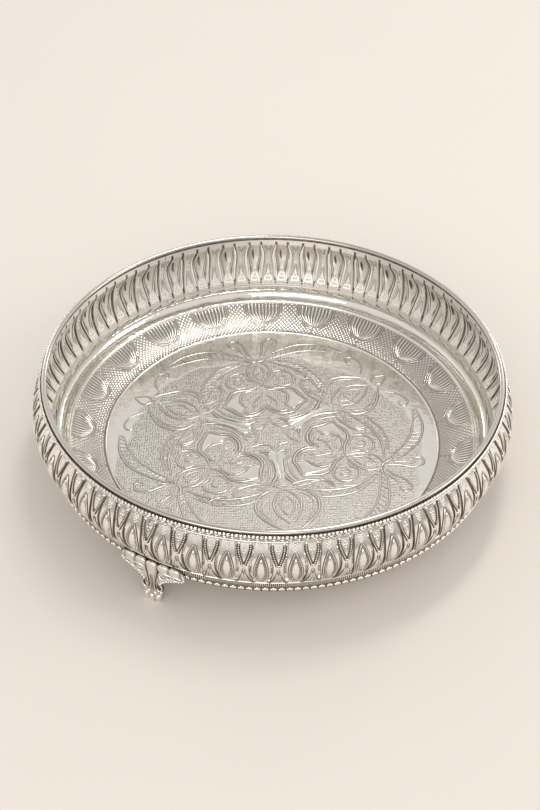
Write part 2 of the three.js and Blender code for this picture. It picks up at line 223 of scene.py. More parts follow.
class Body:
    """Points, faces and beads of one piece; a point's relief_and_painted_light is 0 in the ground and 1 on
    the crests, and it darkens the ground with tarnish and painted shade
    """

    film = 0.06 * mm
    # Across, rise and brightness of a ridge's section; the darker foot is tarnish and painted shade
    section = ((-1.0, 0.0, 0.0), (-0.66, 0.7, 0.75), (0.0, 1.0, 1.0), (0.66, 0.7, 0.75), (1.0, 0.0, 0.0))

    def __init__(self):
        self.points = []
        self.relief_and_painted_light = []
        self.faces = []
        self.beads = []

    def grid(self, rows, relief_and_painted_light, round_columns=False, round_rows=False, flip=False):
        """Quads between rows of points; they face columns x rows"""
        rows = np.asarray(rows, float)
        high, wide = rows.shape[:2]
        first = len(self.points)
        self.points.extend(rows.reshape(-1, 3))
        self.relief_and_painted_light.extend(np.broadcast_to(relief_and_painted_light, (high, wide)).ravel())
        for i in range(high if round_rows else high - 1):
            for j in range(wide if round_columns else wide - 1):
                i2, j2 = (i + 1) % high, (j + 1) % wide
                quad = [first + a * wide + b for a, b in ((i, j), (i, j2), (i2, j2), (i2, j))]
                self.faces.append(quad[::-1] if flip else quad)
        return first

    def ridge(self, places, width, height, taper=0.2, crest=1.0, sunk=0.25 * mm, dark=0.5):
        """Rounded ridge along (point, normal) places, with a dark film of painted shade and tarnish beside
        it, thinned towards its ends
        """
        points = np.array([p for p, n in places])
        normals = np.array([n for p, n in places])
        sides = np.cross(np.gradient(points, axis=0), normals)
        sides /= np.linalg.norm(sides, axis=1)[:, None]
        along = np.linspace(0, 1, len(points))
        swell = np.ones_like(along)
        if taper:
            swell = np.clip(np.minimum(along, 1 - along) / taper, 0.04, 1) ** 0.5
        widths = np.broadcast_to(width, len(points)) * swell
        rows = []
        section = ((-1 - dark, 0.0, 0.0), *self.section, (1 + dark, 0.0, 0.0))
        for point, normal, side, size, wide in zip(points, normals, sides, swell, widths):
            row = [point - side * wide * 0.6 - normal * sunk]
            for across, rise, bright in section:
                lift = self.film + rise * height * size
                row.append(point + side * across * wide / 2 + normal * lift)
            row.append(point + side * wide * 0.6 - normal * sunk)
            rows.append(row)
        relief_and_painted_light = [0, *(bright * crest for across, rise, bright in section), 0]
        first = self.grid(rows, relief_and_painted_light, round_columns=True)
        wide = len(relief_and_painted_light)
        last = first + (len(rows) - 1) * wide
        self.faces.append([last + k for k in range(wide)])
        self.faces.append([first + k for k in reversed(range(wide))])

    def cushion(self, places, rise, fullness=0.5, sunk=0.25 * mm):
        """Domed patch on a grid of (point, normal) places, closed underneath"""
        rows = np.array([[p for p, n in row] for row in places], float)
        normals = np.array([[n for p, n in row] for row in places], float)
        high, wide = rows.shape[:2]
        down = 1 - np.linspace(-1, 1, high)[:, None] ** 2
        over = 1 - np.linspace(-1, 1, wide)[None, :] ** 2
        dome = (down * over) ** fullness
        lift = np.where(dome > 0, rise * dome, -sunk)
        self.grid(rows + normals * lift[..., None], 1.0)
        self.grid(rows - normals * sunk, 0, flip=True)

    def bead(self, place, radius):
        point, normal = place
        self.beads.append((point, normal, radius))

    def beads_along(self, places, radius, spacing):
        points = np.array([p for p, n in places])
        both = np.hstack([points, np.array([n for p, n in places])])
        along = np.concatenate(([0], np.cumsum(np.linalg.norm(np.diff(points, axis=0), axis=1))))
        number = max(2, round(along[-1] / spacing) + 1)
        for at in np.linspace(0, along[-1], number):
            place = [np.interp(at, along, both[:, k]) for k in range(6)]
            self.bead((np.array(place[:3]), np.array(place[3:])), radius)

    def object(self, name):
        """The gathered mesh as an object, with its beads as loose points for the node tree"""
        points = [*self.points, *(bead[0] for bead in self.beads)]
        mesh = bpy.data.meshes.new(name)
        mesh.from_pydata([tuple(p) for p in points], [], self.faces)
        solid = len(self.points)
        relief_and_painted_light = mesh.attributes.new("relief_and_painted_light", "FLOAT", "POINT")
        relief_and_painted_light.data.foreach_set("value", [*self.relief_and_painted_light, *(1.0 for _ in self.beads)])
        size = mesh.attributes.new("bead_size", "FLOAT", "POINT")
        size.data.foreach_set("value", [0.0] * solid + [bead[2] for bead in self.beads])
        facing = mesh.attributes.new("facing", "FLOAT_VECTOR", "POINT")
        outward = [(0.0, 0.0, 1.0)] * solid + [tuple(bead[1]) for bead in self.beads]
        facing.data.foreach_set("vector", np.array(outward, float).ravel())
        mesh.update()
        made = bpy.data.objects.new(name, mesh)
        bpy.context.scene.collection.objects.link(made)
        return made


class Wire:
    """A node's socket that can be used in Python expressions"""

    def __init__(self, nodes, socket):
        self.nodes = nodes
        self.socket = socket

    def other(self, output):
        return Wire(self.nodes, self.socket.node.outputs[output])

    def maths(self, operation, *values):
        inputs = dict(enumerate(values))
        return self.nodes.add("ShaderNodeMath", inputs, operation=operation)

    def __add__(self, other):
        return self.maths("ADD", self, other)

    def __radd__(self, other):
        return self.maths("ADD", other, self)

    def __sub__(self, other):
        return self.maths("SUBTRACT", self, other)

    def __rsub__(self, other):
        return self.maths("SUBTRACT", other, self)

    def __mul__(self, other):
        return self.maths("MULTIPLY", self, other)

    def __rmul__(self, other):
        return self.maths("MULTIPLY", other, self)

    def __pow__(self, other):
        return self.maths("POWER", self, other)

    def between(self, low, high):
        """0 below low, 1 above high, eased in between"""
        return self.nodes.add(
            "ShaderNodeMapRange",
            {"Value": self, "From Min": low, "From Max": high},
            interpolation_type="SMOOTHSTEP",
        )


class Nodes:
    """A node tree that is filled by expressions"""

    def __init__(self, tree):
        self.tree = tree
        tree.nodes.clear()

    def add(self, kind, inputs=None, output=0, stops=None, **settings):
        node = self.tree.nodes.new(kind)
        for setting, value in settings.items():
            setattr(node, setting, value)
        if stops:
            while len(node.color_ramp.elements) < len(stops):
                node.color_ramp.elements.new(1.0)
            for element, (position, stop) in zip(node.color_ramp.elements, stops):
                element.position = position
                element.color = (*stop, 1.0)
        for key, value in (inputs or {}).items():
            if isinstance(value, Wire):
                self.tree.links.new(value.socket, node.inputs[key])
            else:
                node.inputs[key].default_value = value
        return Wire(self, node.outputs[output]) if node.outputs else node

    def mix(self, amount, first, second):
        """Colour between two colours"""
        inputs = {0: amount, 6: first, 7: second}
        return self.add("ShaderNodeMix", inputs, output=2, data_type="RGBA")

    def noise(self, place, size, detail=2.0):
        """Noise from 0 to 1 with features of about this size"""
        inputs = {"Vector": place, "Scale": 1 / size, "Detail": detail}
        return self.add("ShaderNodeTexNoise", inputs)

    def reach(self, vector):
        """Length of a vector"""
        return self.add("ShaderNodeVectorMath", {0: vector}, output="Value", operation="LENGTH")

    def surface(self, inputs):
        """The material's surface"""
        shader = self.add("ShaderNodeBsdfPrincipled", inputs)
        self.add("ShaderNodeOutputMaterial", {"Surface": shader})


def repeat_tree():
    """Geometry Nodes tree: beads on the loose points, the whole repeated round the Z axis"""
    name = "Repeat round the axis"
    tree = bpy.data.node_groups.get(name)
    if tree:
        return tree
    tree = bpy.data.node_groups.new(name, "GeometryNodeTree")
    for socket, kind in (
        ("Geometry", "NodeSocketGeometry"),
        ("Copies", "NodeSocketInt"),
        ("Turn", "NodeSocketFloat"),
        ("First turn", "NodeSocketFloat"),
        ("Bead sides", "NodeSocketInt"),
        ("Bead rings", "NodeSocketInt"),
        ("Flatness", "NodeSocketFloat"),
        ("Material", "NodeSocketMaterial"),
    ):
        tree.interface.new_socket(socket, in_out="INPUT", socket_type=kind)
    tree.interface.new_socket("Geometry", in_out="OUTPUT", socket_type="NodeSocketGeometry")
    nodes = Nodes(tree)
    given = nodes.add("NodeGroupInput")
    piece = given.other("Geometry")

    size = nodes.add("GeometryNodeInputNamedAttribute", {"Name": "bead_size"}, data_type="FLOAT")
    facing = nodes.add("GeometryNodeInputNamedAttribute", {"Name": "facing"}, data_type="FLOAT_VECTOR")
    is_bead = nodes.add("FunctionNodeCompare", {0: size, 1: 0.0}, data_type="FLOAT", operation="GREATER_THAN")
    spots = nodes.add("GeometryNodeMeshToPoints", {"Mesh": piece, "Selection": is_bead})
    sphere = {"Segments": given.other("Bead sides"), "Rings": given.other("Bead rings"), "Radius": 1.0}
    ball = nodes.add("GeometryNodeMeshUVSphere", sphere)
    flat = nodes.add("ShaderNodeCombineXYZ", {"X": 1.0, "Y": 1.0, "Z": given.other("Flatness")})
    bead = nodes.add("GeometryNodeTransform", {"Geometry": ball, "Scale": flat})
    crest = {"Geometry": bead, "Name": "relief_and_painted_light", "Value": 1.0}
    bead = nodes.add("GeometryNodeStoreNamedAttribute", crest, data_type="FLOAT", domain="POINT")
    upright = nodes.add("FunctionNodeAlignRotationToVector", {"Vector": facing}, axis="Z")
    placed = {"Points": spots, "Instance": bead, "Rotation": upright, "Scale": size}
    beads = nodes.add("GeometryNodeInstanceOnPoints", placed)
    plain = nodes.add("GeometryNodeDeleteGeometry", {"Geometry": piece, "Selection": is_bead}, domain="POINT")
    one = nodes.add("GeometryNodeJoinGeometry", {0: plain})
    tree.links.new(beads.socket, one.socket.node.inputs[0])

    copies = nodes.add("GeometryNodePoints", {"Count": given.other("Copies")})
    index = nodes.add("GeometryNodeInputIndex")
    around = nodes.add("ShaderNodeCombineXYZ", {"Z": given.other("First turn") + index * given.other("Turn")})
    ring = nodes.add("GeometryNodeInstanceOnPoints", {"Points": copies, "Instance": one, "Rotation": around})
    whole = nodes.add("GeometryNodeRealizeInstances", {"Geometry": ring})
    whole = nodes.add("GeometryNodeSetShadeSmooth", {"Geometry": whole})
    done = nodes.add("GeometryNodeSetMaterial", {"Geometry": whole, "Material": given.other("Material")})
    nodes.add("NodeGroupOutput", {"Geometry": done})
    return tree


def repeated(body, name, material, copies=1, turn=0.0, first=0.0, sides=7, rings=5, flatness=0.85):
    """The body with its beads, repeated round the axis, as one plain closed mesh"""
    piece = body.object(name)
    modifier = piece.modifiers.new("Repeat", "NODES")
    tree = repeat_tree()
    modifier.node_group = tree
    values = {
        "Copies": copies,
        "Turn": turn,
        "First turn": first,
        "Bead sides": sides,
        "Bead rings": rings,
        "Flatness": flatness,
        "Material": material,
    }
    for item in tree.interface.items_tree:
        if item.in_out == "INPUT" and item.name in values:
            modifier[item.identifier] = values[item.name]
    bpy.context.view_layer.update()
    evaluated = piece.evaluated_get(bpy.context.evaluated_depsgraph_get())
    mesh = bpy.data.meshes.new_from_object(evaluated)
    piece.modifiers.clear()
    piece.data = mesh
    for spare in ("bead_size", "facing"):
        if spare in mesh.attributes:
            mesh.attributes.remove(mesh.attributes[spare])
    joined = bmesh.new()
    joined.from_mesh(mesh)
    bmesh.ops.remove_doubles(joined, verts=joined.verts, dist=merged)
    joined.to_mesh(mesh)
    joined.free()
    mesh.set_sharp_from_angle(angle=sharp)
    mesh.name = name
    if not mesh.polygons:
        raise RuntimeError(f"{name} came out empty")
    return piece


def new_material(name):
    """A material with an empty node tree"""
    material = bpy.data.materials.new(name)
    material.use_nodes = True
    return material, Nodes(material.node_tree)


def inner_face(nodes, barrel, place, out):
    """1 on the gallery's inner face and 0 on its outer one"""
    soft = 0.3 * mm
    z = nodes.add("ShaderNodeSeparateXYZ", {"Vector": place}, output="Z")
    up = nodes.add("ShaderNodeMapRange", {"Value": z, "From Min": barrel.bottom, "From Max": barrel.top})
    middle = barrel.end_radius + barrel.swell * up.maths("SINE", pi * up) - barrel.sizes.wall / 2
    return 1 - (out - middle).between(-soft, soft)


def pan_zones(nodes, profile, flat, out, cloud):
    """How far a place belongs to the stipple, to the plain metal beside it and to the polished band"""
    sizes = profile.sizes
    soft = 0.6 * mm
    edge = profile.floor_edge - sizes.margin
    ring = profile.floor_edge - sizes.ring_width
    shift = {0: flat, 1: (0.0, sizes.stipple_shift, 0.0)}
    reach = nodes.reach(nodes.add("ShaderNodeVectorMath", shift, operation="ADD"))
    wandering = reach + (cloud - 0.5) * sizes.stipple_wander
    stipple = (1 - wandering.between(edge - 3 * mm, edge)) * (1 - out.between(ring, ring + 0.1 * mm))
    band = out.between(profile.side_edge, profile.side_edge + soft)
    side = out.between(profile.floor_edge - soft, profile.floor_edge) * (1 - band)
    return stipple, (1 - side) * (1 - stipple), band


def silver(name, colours, roughness, grain, grain_size, tarnish_and_painted_shade=0.6, barrel=None, profile=None):
    """Worn silver, bright on the crests, darker and rougher in the hollows, where the darkening is tarnish
    and painted shade; matt and painted lighter inside the gallery's barrel; on the pan stippled in the
    middle, plain beside that in the third colour, and polished outside"""
    made = bpy.data.materials.get(name)
    if made:
        return made
    material, nodes = new_material(name)
    place = nodes.add("ShaderNodeTexCoord", output="Object")
    relief_and_painted_light = nodes.add("ShaderNodeAttribute", output="Fac", attribute_name="relief_and_painted_light")
    cloud = nodes.noise(place, 35 * mm, 3.0)
    patches = nodes.noise(place, 5 * mm, 4.0)
    fine = nodes.noise(place, grain_size, 2.0)
    flat = nodes.add("ShaderNodeVectorMath", {0: place, 1: (1.0, 1.0, 0.0)}, operation="MULTIPLY")
    out = nodes.reach(flat)
    # Tarnish and painted shade: darkening where relief_and_painted_light is low, in hollows, beside slots and
    # between beads
    hollow = (1 - relief_and_painted_light).between(0.1, 0.9) * (0.85 + 0.3 * patches) * tarnish_and_painted_shade
    if barrel:
        matt_and_lit_inside = inner_face(nodes, barrel, place, out)
        # Painted light: the inner face of the barrel is darkened less
        hollow = hollow ** (1 + 2 * matt_and_lit_inside)
    bright, dark = (*colours[0], 1.0), (*colours[1], 1.0)
    yellowed = tuple(part * kept for part, kept in zip(colours[0], (0.96, 0.93, 0.87)))
    warm = nodes.mix(cloud * 0.5, bright, (*yellowed, 1.0))
    base = nodes.mix(hollow, warm, dark)
    height = fine * grain
    rough = roughness + hollow * 0.25 + (patches - 0.5) * 0.12
    if barrel:
        rough = rough + matt_and_lit_inside * 0.3
    if profile:
        sizes = profile.sizes
        stipple, plain, band = pan_zones(nodes, profile, flat, out, cloud)
        cells = {"Vector": flat, "Scale": 1 / sizes.pit, "Randomness": 0.4}
        pits = (1 - nodes.add("ShaderNodeTexVoronoi", cells).between(0.24, 0.42)) * stipple
        waves = nodes.noise(place, 6 * mm, 1.0)
        height = height - pits * sizes.pit_depth + plain * waves * sizes.waviness
        rough = rough - (plain + band) * 0.35 * roughness
        base = nodes.mix(pits * 0.85, base, dark)
        base = nodes.mix(plain * (1 - band) * 0.85, base, (*colours[2], 1.0))
    bump = nodes.add("ShaderNodeBump", {"Height": height, "Distance": 1.0, "Strength": 1.0}, output="Normal")
    nodes.surface({"Base Color": base, "Metallic": 1.0, "Roughness": rough, "Normal": bump})
    return material


def cast_silver(context):
    finish = context.scene.tray_finish
    return silver(
        "Cast silver", (finish.cast, finish.tarnish_and_painted_shade), roughness=0.17, grain=0.012 * mm,
        grain_size=0.8 * mm, tarnish_and_painted_shade=0.95, barrel=Barrel(context.scene.tray_gallery),
    )


def polished_silver(context):
    finish = context.scene.tray_finish
    return silver(
        "Polished silver", (finish.rim, finish.tarnish_and_painted_shade), roughness=0.17, grain=0.004 * mm,
        grain_size=2.5 * mm,
    )


def chased_silver(context):
    finish = context.scene.tray_finish
    return silver(
        "Chased silver", (finish.silver, finish.tarnish_and_painted_shade), roughness=0.18, grain=0.01 * mm,
        grain_size=0.9 * mm, tarnish_and_painted_shade=0.8,
    )


def pan_silver(context):
    finish = context.scene.tray_finish
    return silver(
        "Pan silver", (finish.ground, finish.tarnish_and_painted_shade, finish.cast), roughness=0.22, grain=0.006 * mm,
        grain_size=1.6 * mm, tarnish_and_painted_shade=0.75, profile=PanProfile(context.scene.tray_pan),
    )


class PanProfile:
    """The pan's upper face: its height and slope at each radius"""

    def __init__(self, sizes):
        self.sizes = sizes
        self.floor_edge = sizes.floor_radius + sizes.ring_width / 2
        self.line_radius = sizes.floor_radius + sizes.side_width
        self.side_edge = self.line_radius - sizes.ring_width / 2
        self.lip_top = pan_top
        self.line_height = self.lip_top - sizes.band_rise
        self.band_outer = self.line_radius + sizes.band_width
        self.lip_outer = self.band_outer + sizes.lip_width

    def side(self, radius):
        across = min(max((radius - self.floor_edge) / (self.side_edge - self.floor_edge), 0), 1)
        return floor_height + (self.line_height - floor_height) * across**1.5

    def place(self, azimuth, radius):
        """Point and normal on the floor or the hollow side"""
        step = 0.2 * mm
        slope = (self.side(radius + step) - self.side(radius - step)) / (2 * step)
        size = hypot(1, slope)
        return polar(azimuth, radius, self.side(radius)), polar(azimuth, -slope / size, 1 / size)

    def outline(self):
        """Radius and height of the upper face from the middle outwards"""
        sizes = self.sizes
        half = sizes.ring_width / 2
        run = [(radius * sizes.floor_radius, floor_height) for radius in (0.0001, 0.1, 0.3, 0.6, 0.9, 0.984)]
        bump = lambda middle, low, high: [
            (middle + half * x, low + (high - low) * (x + 1) / 2 + sizes.ring * (1 - x * x) ** 0.75)
            for x in np.linspace(-1, 1, 9)
        ]
        run += bump(sizes.floor_radius, floor_height, floor_height)
        run += [(r, self.side(r)) for r in np.linspace(self.floor_edge, self.side_edge, 18)[1:-1]]
        run += bump(self.line_radius, self.line_height, self.line_height + sizes.ring / 2)
        foot = (self.line_radius + half, self.line_height + sizes.ring / 2)
        for left in np.linspace(1, 0, 15)[1:]:
            run.append((
                self.band_outer - (self.band_outer - foot[0]) * left,
                self.lip_top - (self.lip_top - foot[1]) * left**3,
            ))
        run += [(self.band_outer + sizes.lip_width * s, self.lip_top) for s in (0.1, 0.85)]
        run += [(self.lip_outer, self.lip_top - 0.2 * mm)]
        return run


def turned(body, outline, sides, relief_and_painted_light):
    """Adds a turned skin of (radius, height) points, facing to the left of the outline"""
    azimuths = np.linspace(0, 2 * pi, sides, endpoint=False)
    rows = [[polar(azimuth, r, z) for azimuth in azimuths] for r, z in outline]
    body.grid(rows, relief_and_painted_light, round_columns=True, flip=True)


class TRAY_OT_pan(Operator):
    """Pressed pan: floor, ring, hollow side, raised line, polished band and lip"""

    bl_idname = "tray.pan"
    bl_label = "Pan"

    def execute(self, context):
        sizes = context.scene.tray_pan
        profile = PanProfile(sizes)
        face = profile.outline()
        under = []
        for k, (radius, z) in enumerate(face):
            before, after = face[max(k - 1, 0)], face[min(k + 1, len(face) - 1)]
            run = (after[0] - before[0], after[1] - before[1])
            size = hypot(*run)
            edge = k == len(face) - 1
            drop = sizes.sheet - 0.2 * mm if edge else sizes.sheet * run[0] / size
            under.append((radius if edge else radius + sizes.sheet * run[1] / size, z - drop))
        body = Body()
        bright = []
        for radius, z in face:
            on_side = profile.floor_edge + 0.3 * mm < radius < profile.side_edge - 0.3 * mm
            beside_ring = 0.45 < abs(radius - sizes.floor_radius) / sizes.ring_width < 0.8
            # Tarnish and painted shade: the side's ground is darker to dim its reflections, the ground beside
            # the floor's ring darker still
            bright.append(0.2 if beside_ring else 0.35 if on_side else 0.9)
        bright += [0.6] * len(under)
        turned(body, [*face, *reversed(under)], 288, np.array(bright)[:, None])
        pan = repeated(body, "pan_sheet", pan_silver(context))
        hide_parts("tray_pan")
        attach(pan, "root")
        return {"FINISHED"}


class Chasing:
    """Lines and plain patches chased on the flat floor, in millimetres from the middle"""

    def __init__(self, sizes):
        self.sizes = sizes
        self.body = Body()
        self.turn = 0.0

    def place(self, across, out):
        radius = hypot(across, out) * mm
        azimuth = self.turn + np.arctan2(across, out)
        return polar(azimuth, radius, floor_height), np.array((0.0, 0.0, 1.0))

    def line(self, points, weight=1.0, dark=0.75):
        """A line and its mirror image, with dark borders of painted shade and tarnish of this share of its
        half width
        """
        run = spaced(smooth(points), 0.8)
        for side in (-1, 1):
            places = [self.place(side * x, y) for x, y in run]
            height = self.sizes.line_height * min(weight, 1.2)
            self.body.ridge(places, self.sizes.line * weight, height, dark=dark)

    def patch(self, inner, outer, rise=0.16 * mm):
        """A plain patch between two runs, and its mirror image"""
        across = np.linspace(0, 1, 7)[:, None, None]
        inner = np.array(spaced(smooth(inner), 1.2))
        outer = np.array(smooth(outer, 12))
        picks = np.linspace(0, len(outer) - 1, len(inner)).round().astype(int)
        grid = inner[None] * (1 - across) + outer[picks][None] * across
        for side in (-1, 1):
            places = [[self.place(side * x, y) for x, y in row] for row in grid]
            self.body.cushion(places[::-1] if side > 0 else places, rise, fullness=0.15)

    def hatching(self, lower, upper, number, lean=0.08):
        """Short lines from one run to another, and their mirror images"""
        lower, upper = smooth(lower, 16), smooth(upper, 16)
        for k in range(1, number):
            start = lower[round(k / number * (len(lower) - 1))]
            end = upper[min(round((k / number + lean) * (len(upper) - 1)), len(upper) - 1)]
            middle = (start + end) / 2
            self.line([start + (middle - start) * 0.1, middle, end + (middle - end) * 0.1], 0.5)

    def blossom(self):
        """Two curled petals over a crescent, a bud with side petals, and two long leaves"""
        petal = [(0, 29), (2.6, 24), (9, 20.6), (17, 21.3), (22, 26.5), (28, 31)]
        flank = [(28, 31), (24.4, 36), (21.6, 42), (16, 45.6), (8, 46), (0, 49.5)]
        lobe = [(1, 44), (9, 44.6), (14.6, 40.6), (15.4, 34.6), (13.6, 29), (15.4, 25)]
        tuck = [(15.4, 25), (12, 22.9), (7, 23.4), (3.4, 26.4), (1.6, 31)]
        self.patch([(15.6, 25.6), (14.4, 29.4), (16.2, 34.6), (15.6, 40.8), (12.5, 43.8)],
                   [(17.5, 22.6), (21.4, 27.4), (26.4, 31), (23, 36.5), (14.5, 44.8)])
        self.line(petal, 1.35, 1.1)
        self.line(flank, 1.2, 1.1)
        self.line(lobe, 1.0, 0.9)
        self.line(tuck, 1.0, 0.9)
        self.line([(1, 41), (4.3, 36.7), (7.6, 32.4), (7.4, 26.5)], 0.9)
        self.line([(37, 31), (31, 21), (23, 15.5), (14, 13), (6.4, 16)], 1.5, 1.2)
        self.line([(33.5, 33), (29, 25.6), (22, 20), (14.5, 17.2), (8, 18.4)], 0.9)
        self.line([(0.6, 19.5), (2, 12), (6.5, 7.5), (12, 8.5), (9.6, 12.3), (5.8, 11.6)], 0.9)
        self.line([(0.3, 50), (6, 58), (7.2, 67), (3.6, 73), (0.3, 76)], 1.1)
        self.line([(0.3, 54), (3.7, 61), (2.8, 66.5), (0.3, 70)], 0.8)
        scroll = [(4, 52), (8, 56), (9, 61.5), (14, 63.5), (20, 60.5)]
        self.line([*scroll, (22.5, 54), (19.5, 48.6), (13, 48), (8, 50)], 1.1)
        self.line([(10.4, 53), (12.6, 57.4), (16.2, 57), (17.6, 53.5), (14.6, 51.5)], 0.8)
        self.line([(2, 77), (5, 84), (6.5, 92), (11.5, 97.5), (16.5, 95), (14.5, 90.5), (11.3, 92)], 1.1)
        self.line([(5.4, 79), (8.6, 85), (10.4, 89.4)], 0.8)
        self.line([(0.5, 74), (4, 75), (7, 77.6)], 1.6)
        upper = [(4, 77), (14, 83), (30, 88.5), (46, 86), (60, 77)]
        lower = [(7, 75.4), (17, 78.6), (32, 81.6), (46, 79.4), (58, 75)]
        self.line(upper, 1.1)
        self.line(lower, 0.9)
        self.hatching(lower, upper, 16)
        stem = [(7, 74), (24, 64), (33, 51), (38, 38)]
        edge = [(14, 74.4), (29, 66), (38.5, 53), (42, 41)]
        self.line(stem, 1.2)
        self.line(edge, 0.9)
        self.hatching(stem, edge, 13)
        self.line([(33, 51), (28, 52.6), (25.6, 46), (30, 39), (40, 35)], 1.0)
        self.line([(30, 57), (26, 58.6), (23.6, 66), (27, 71)], 0.8)

    def bud(self):
        """Pointed bud between two blossoms, with crescents and leaves"""
        self.line([(0.3, 50), (6, 56), (8.5, 64), (6, 73), (0.3, 80)], 1.1)
        self.line([(0.3, 55), (3.6, 61), (4, 67), (0.3, 74)], 0.8)
        self.line([(7, 49.5), (15, 54), (19.5, 62), (18, 71), (11, 80), (5, 85)], 1.4, 0.7)
        self.line([(9.6, 54), (14.6, 58), (16.6, 64), (15, 70.5), (10.6, 77)], 0.7)
        self.line([(2, 49), (8, 45), (18, 43.5), (27, 46.5), (30.5, 53), (26.5, 56), (23.5, 52.5)], 1.1)
        self.line([(8, 48.6), (16, 47), (22, 48.8)], 0.7)
        self.line([(0.3, 84), (4, 89), (0.3, 97)], 0.9)
        self.line([(11, 84), (18, 90.5), (27, 91.5), (30.5, 87), (26.6, 84.6), (23.8, 87.2)], 0.9)
        gap = [(0.4, 47), (1.9, 40), (2.8, 32), (3.4, 25), (6.2, 18.6), (3.5, 15)]
        self.patch([(0, y) for x, y in gap], gap)
        self.line([(x + 0.7, y) for x, y in gap[1:5]], 0.8)


class TRAY_OT_floor_chasing(Operator):
    """Flowers, buds and leaves chased on the floor, alike in each third"""

    bl_idname = "tray.floor_chasing"
    bl_label = "Floor chasing"

    def execute(self, context):
        sizes = context.scene.tray_pan
        third = 2 * pi / 3
        chasing = Chasing(sizes)
        chasing.blossom()
        chasing.turn = third / 2
        chasing.bud()
        piece = repeated(
            chasing.body, "floor_chasing", chased_silver(context),
            copies=3, turn=third, first=sizes.floor_turn,
        )
        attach(piece, "root")
        return {"FINISHED"}


class TRAY_OT_side_chasing(Operator):
    """Fans round the hollow side, with a lattice of dots between them"""

    bl_idname = "tray.side_chasing"
    bl_label = "Side chasing"

    tip = 0.25
    shoulder = 0.76
    brim = 0.97

    def half_angle(self, across, width):
        """Half of the fan's angle at a share of the side's width, from its tip to the raised line"""
        if across <= self.tip:
            return 0.0
        s = min((across - self.tip) / (self.shoulder - self.tip), 1)
        return width / 2 * s**0.45

    def execute(self, context):
        sizes = context.scene.tray_pan
        profile = PanProfile(sizes)
        span = profile.side_edge - profile.floor_edge
        half = sizes.fan_width / (profile.floor_edge + 0.6 * span)
        body = Body()

        def place(azimuth, across):
            return profile.place(azimuth, profile.floor_edge + span * across)

        def bowl(scale, start, samples=18):
            """Half of an outline like the fan's, drawn narrower by the scale"""
            run = []
            for s in np.linspace(0, 1, samples):
                across = start + (self.brim - start) * s**1.6
                fan_across = self.tip + (across - start) * self.brim / (self.brim - start)
                run.append((scale * self.half_angle(fan_across, half), across))
            return run

        for scale, start in ((1.0, self.tip), (0.88, self.tip + 0.06)):
            for side in (-1, 1):
                places = [place(side * a, b) for a, b in bowl(scale, start)]
                body.ridge(places, 0.75 * mm, 0.34 * mm, 0.08, dark=0.85)
        ribs = sizes.fan_ribs
        widths = np.linspace(0.7, 2.2, 12) * mm
        for k in range(ribs):
            lean = 2 * k / (ribs - 1) - 1
            places = [place(lean * a, b) for a, b in bowl(0.76, self.tip + 0.11, 12)]
            body.ridge(places, widths, 0.4 * mm, 0.12, dark=0.3)

        pitch = 2 * pi / sizes.fans
        rows = round(span / sizes.dot_rise)
        columns = round(pitch * (profile.floor_edge + span / 2) / sizes.dot_pitch)
        for row in range(1, rows):
            across = row / rows
            for column in range(columns):
                at = (column + 0.5 * (row % 2)) / columns - 0.5
                azimuth = at * pitch
                clear = abs(azimuth) >= self.half_angle(across, half) + 0.8 * mm / profile.floor_edge
                if clear and across <= self.brim:
                    body.bead(place(azimuth, across), sizes.dot)
        piece = repeated(
            body, "side_chasing", chased_silver(context), copies=sizes.fans, turn=pitch,
            first=sizes.fan_turn, sides=4, rings=3, flatness=0.4,
        )
        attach(piece, "root")
        return {"FINISHED"}


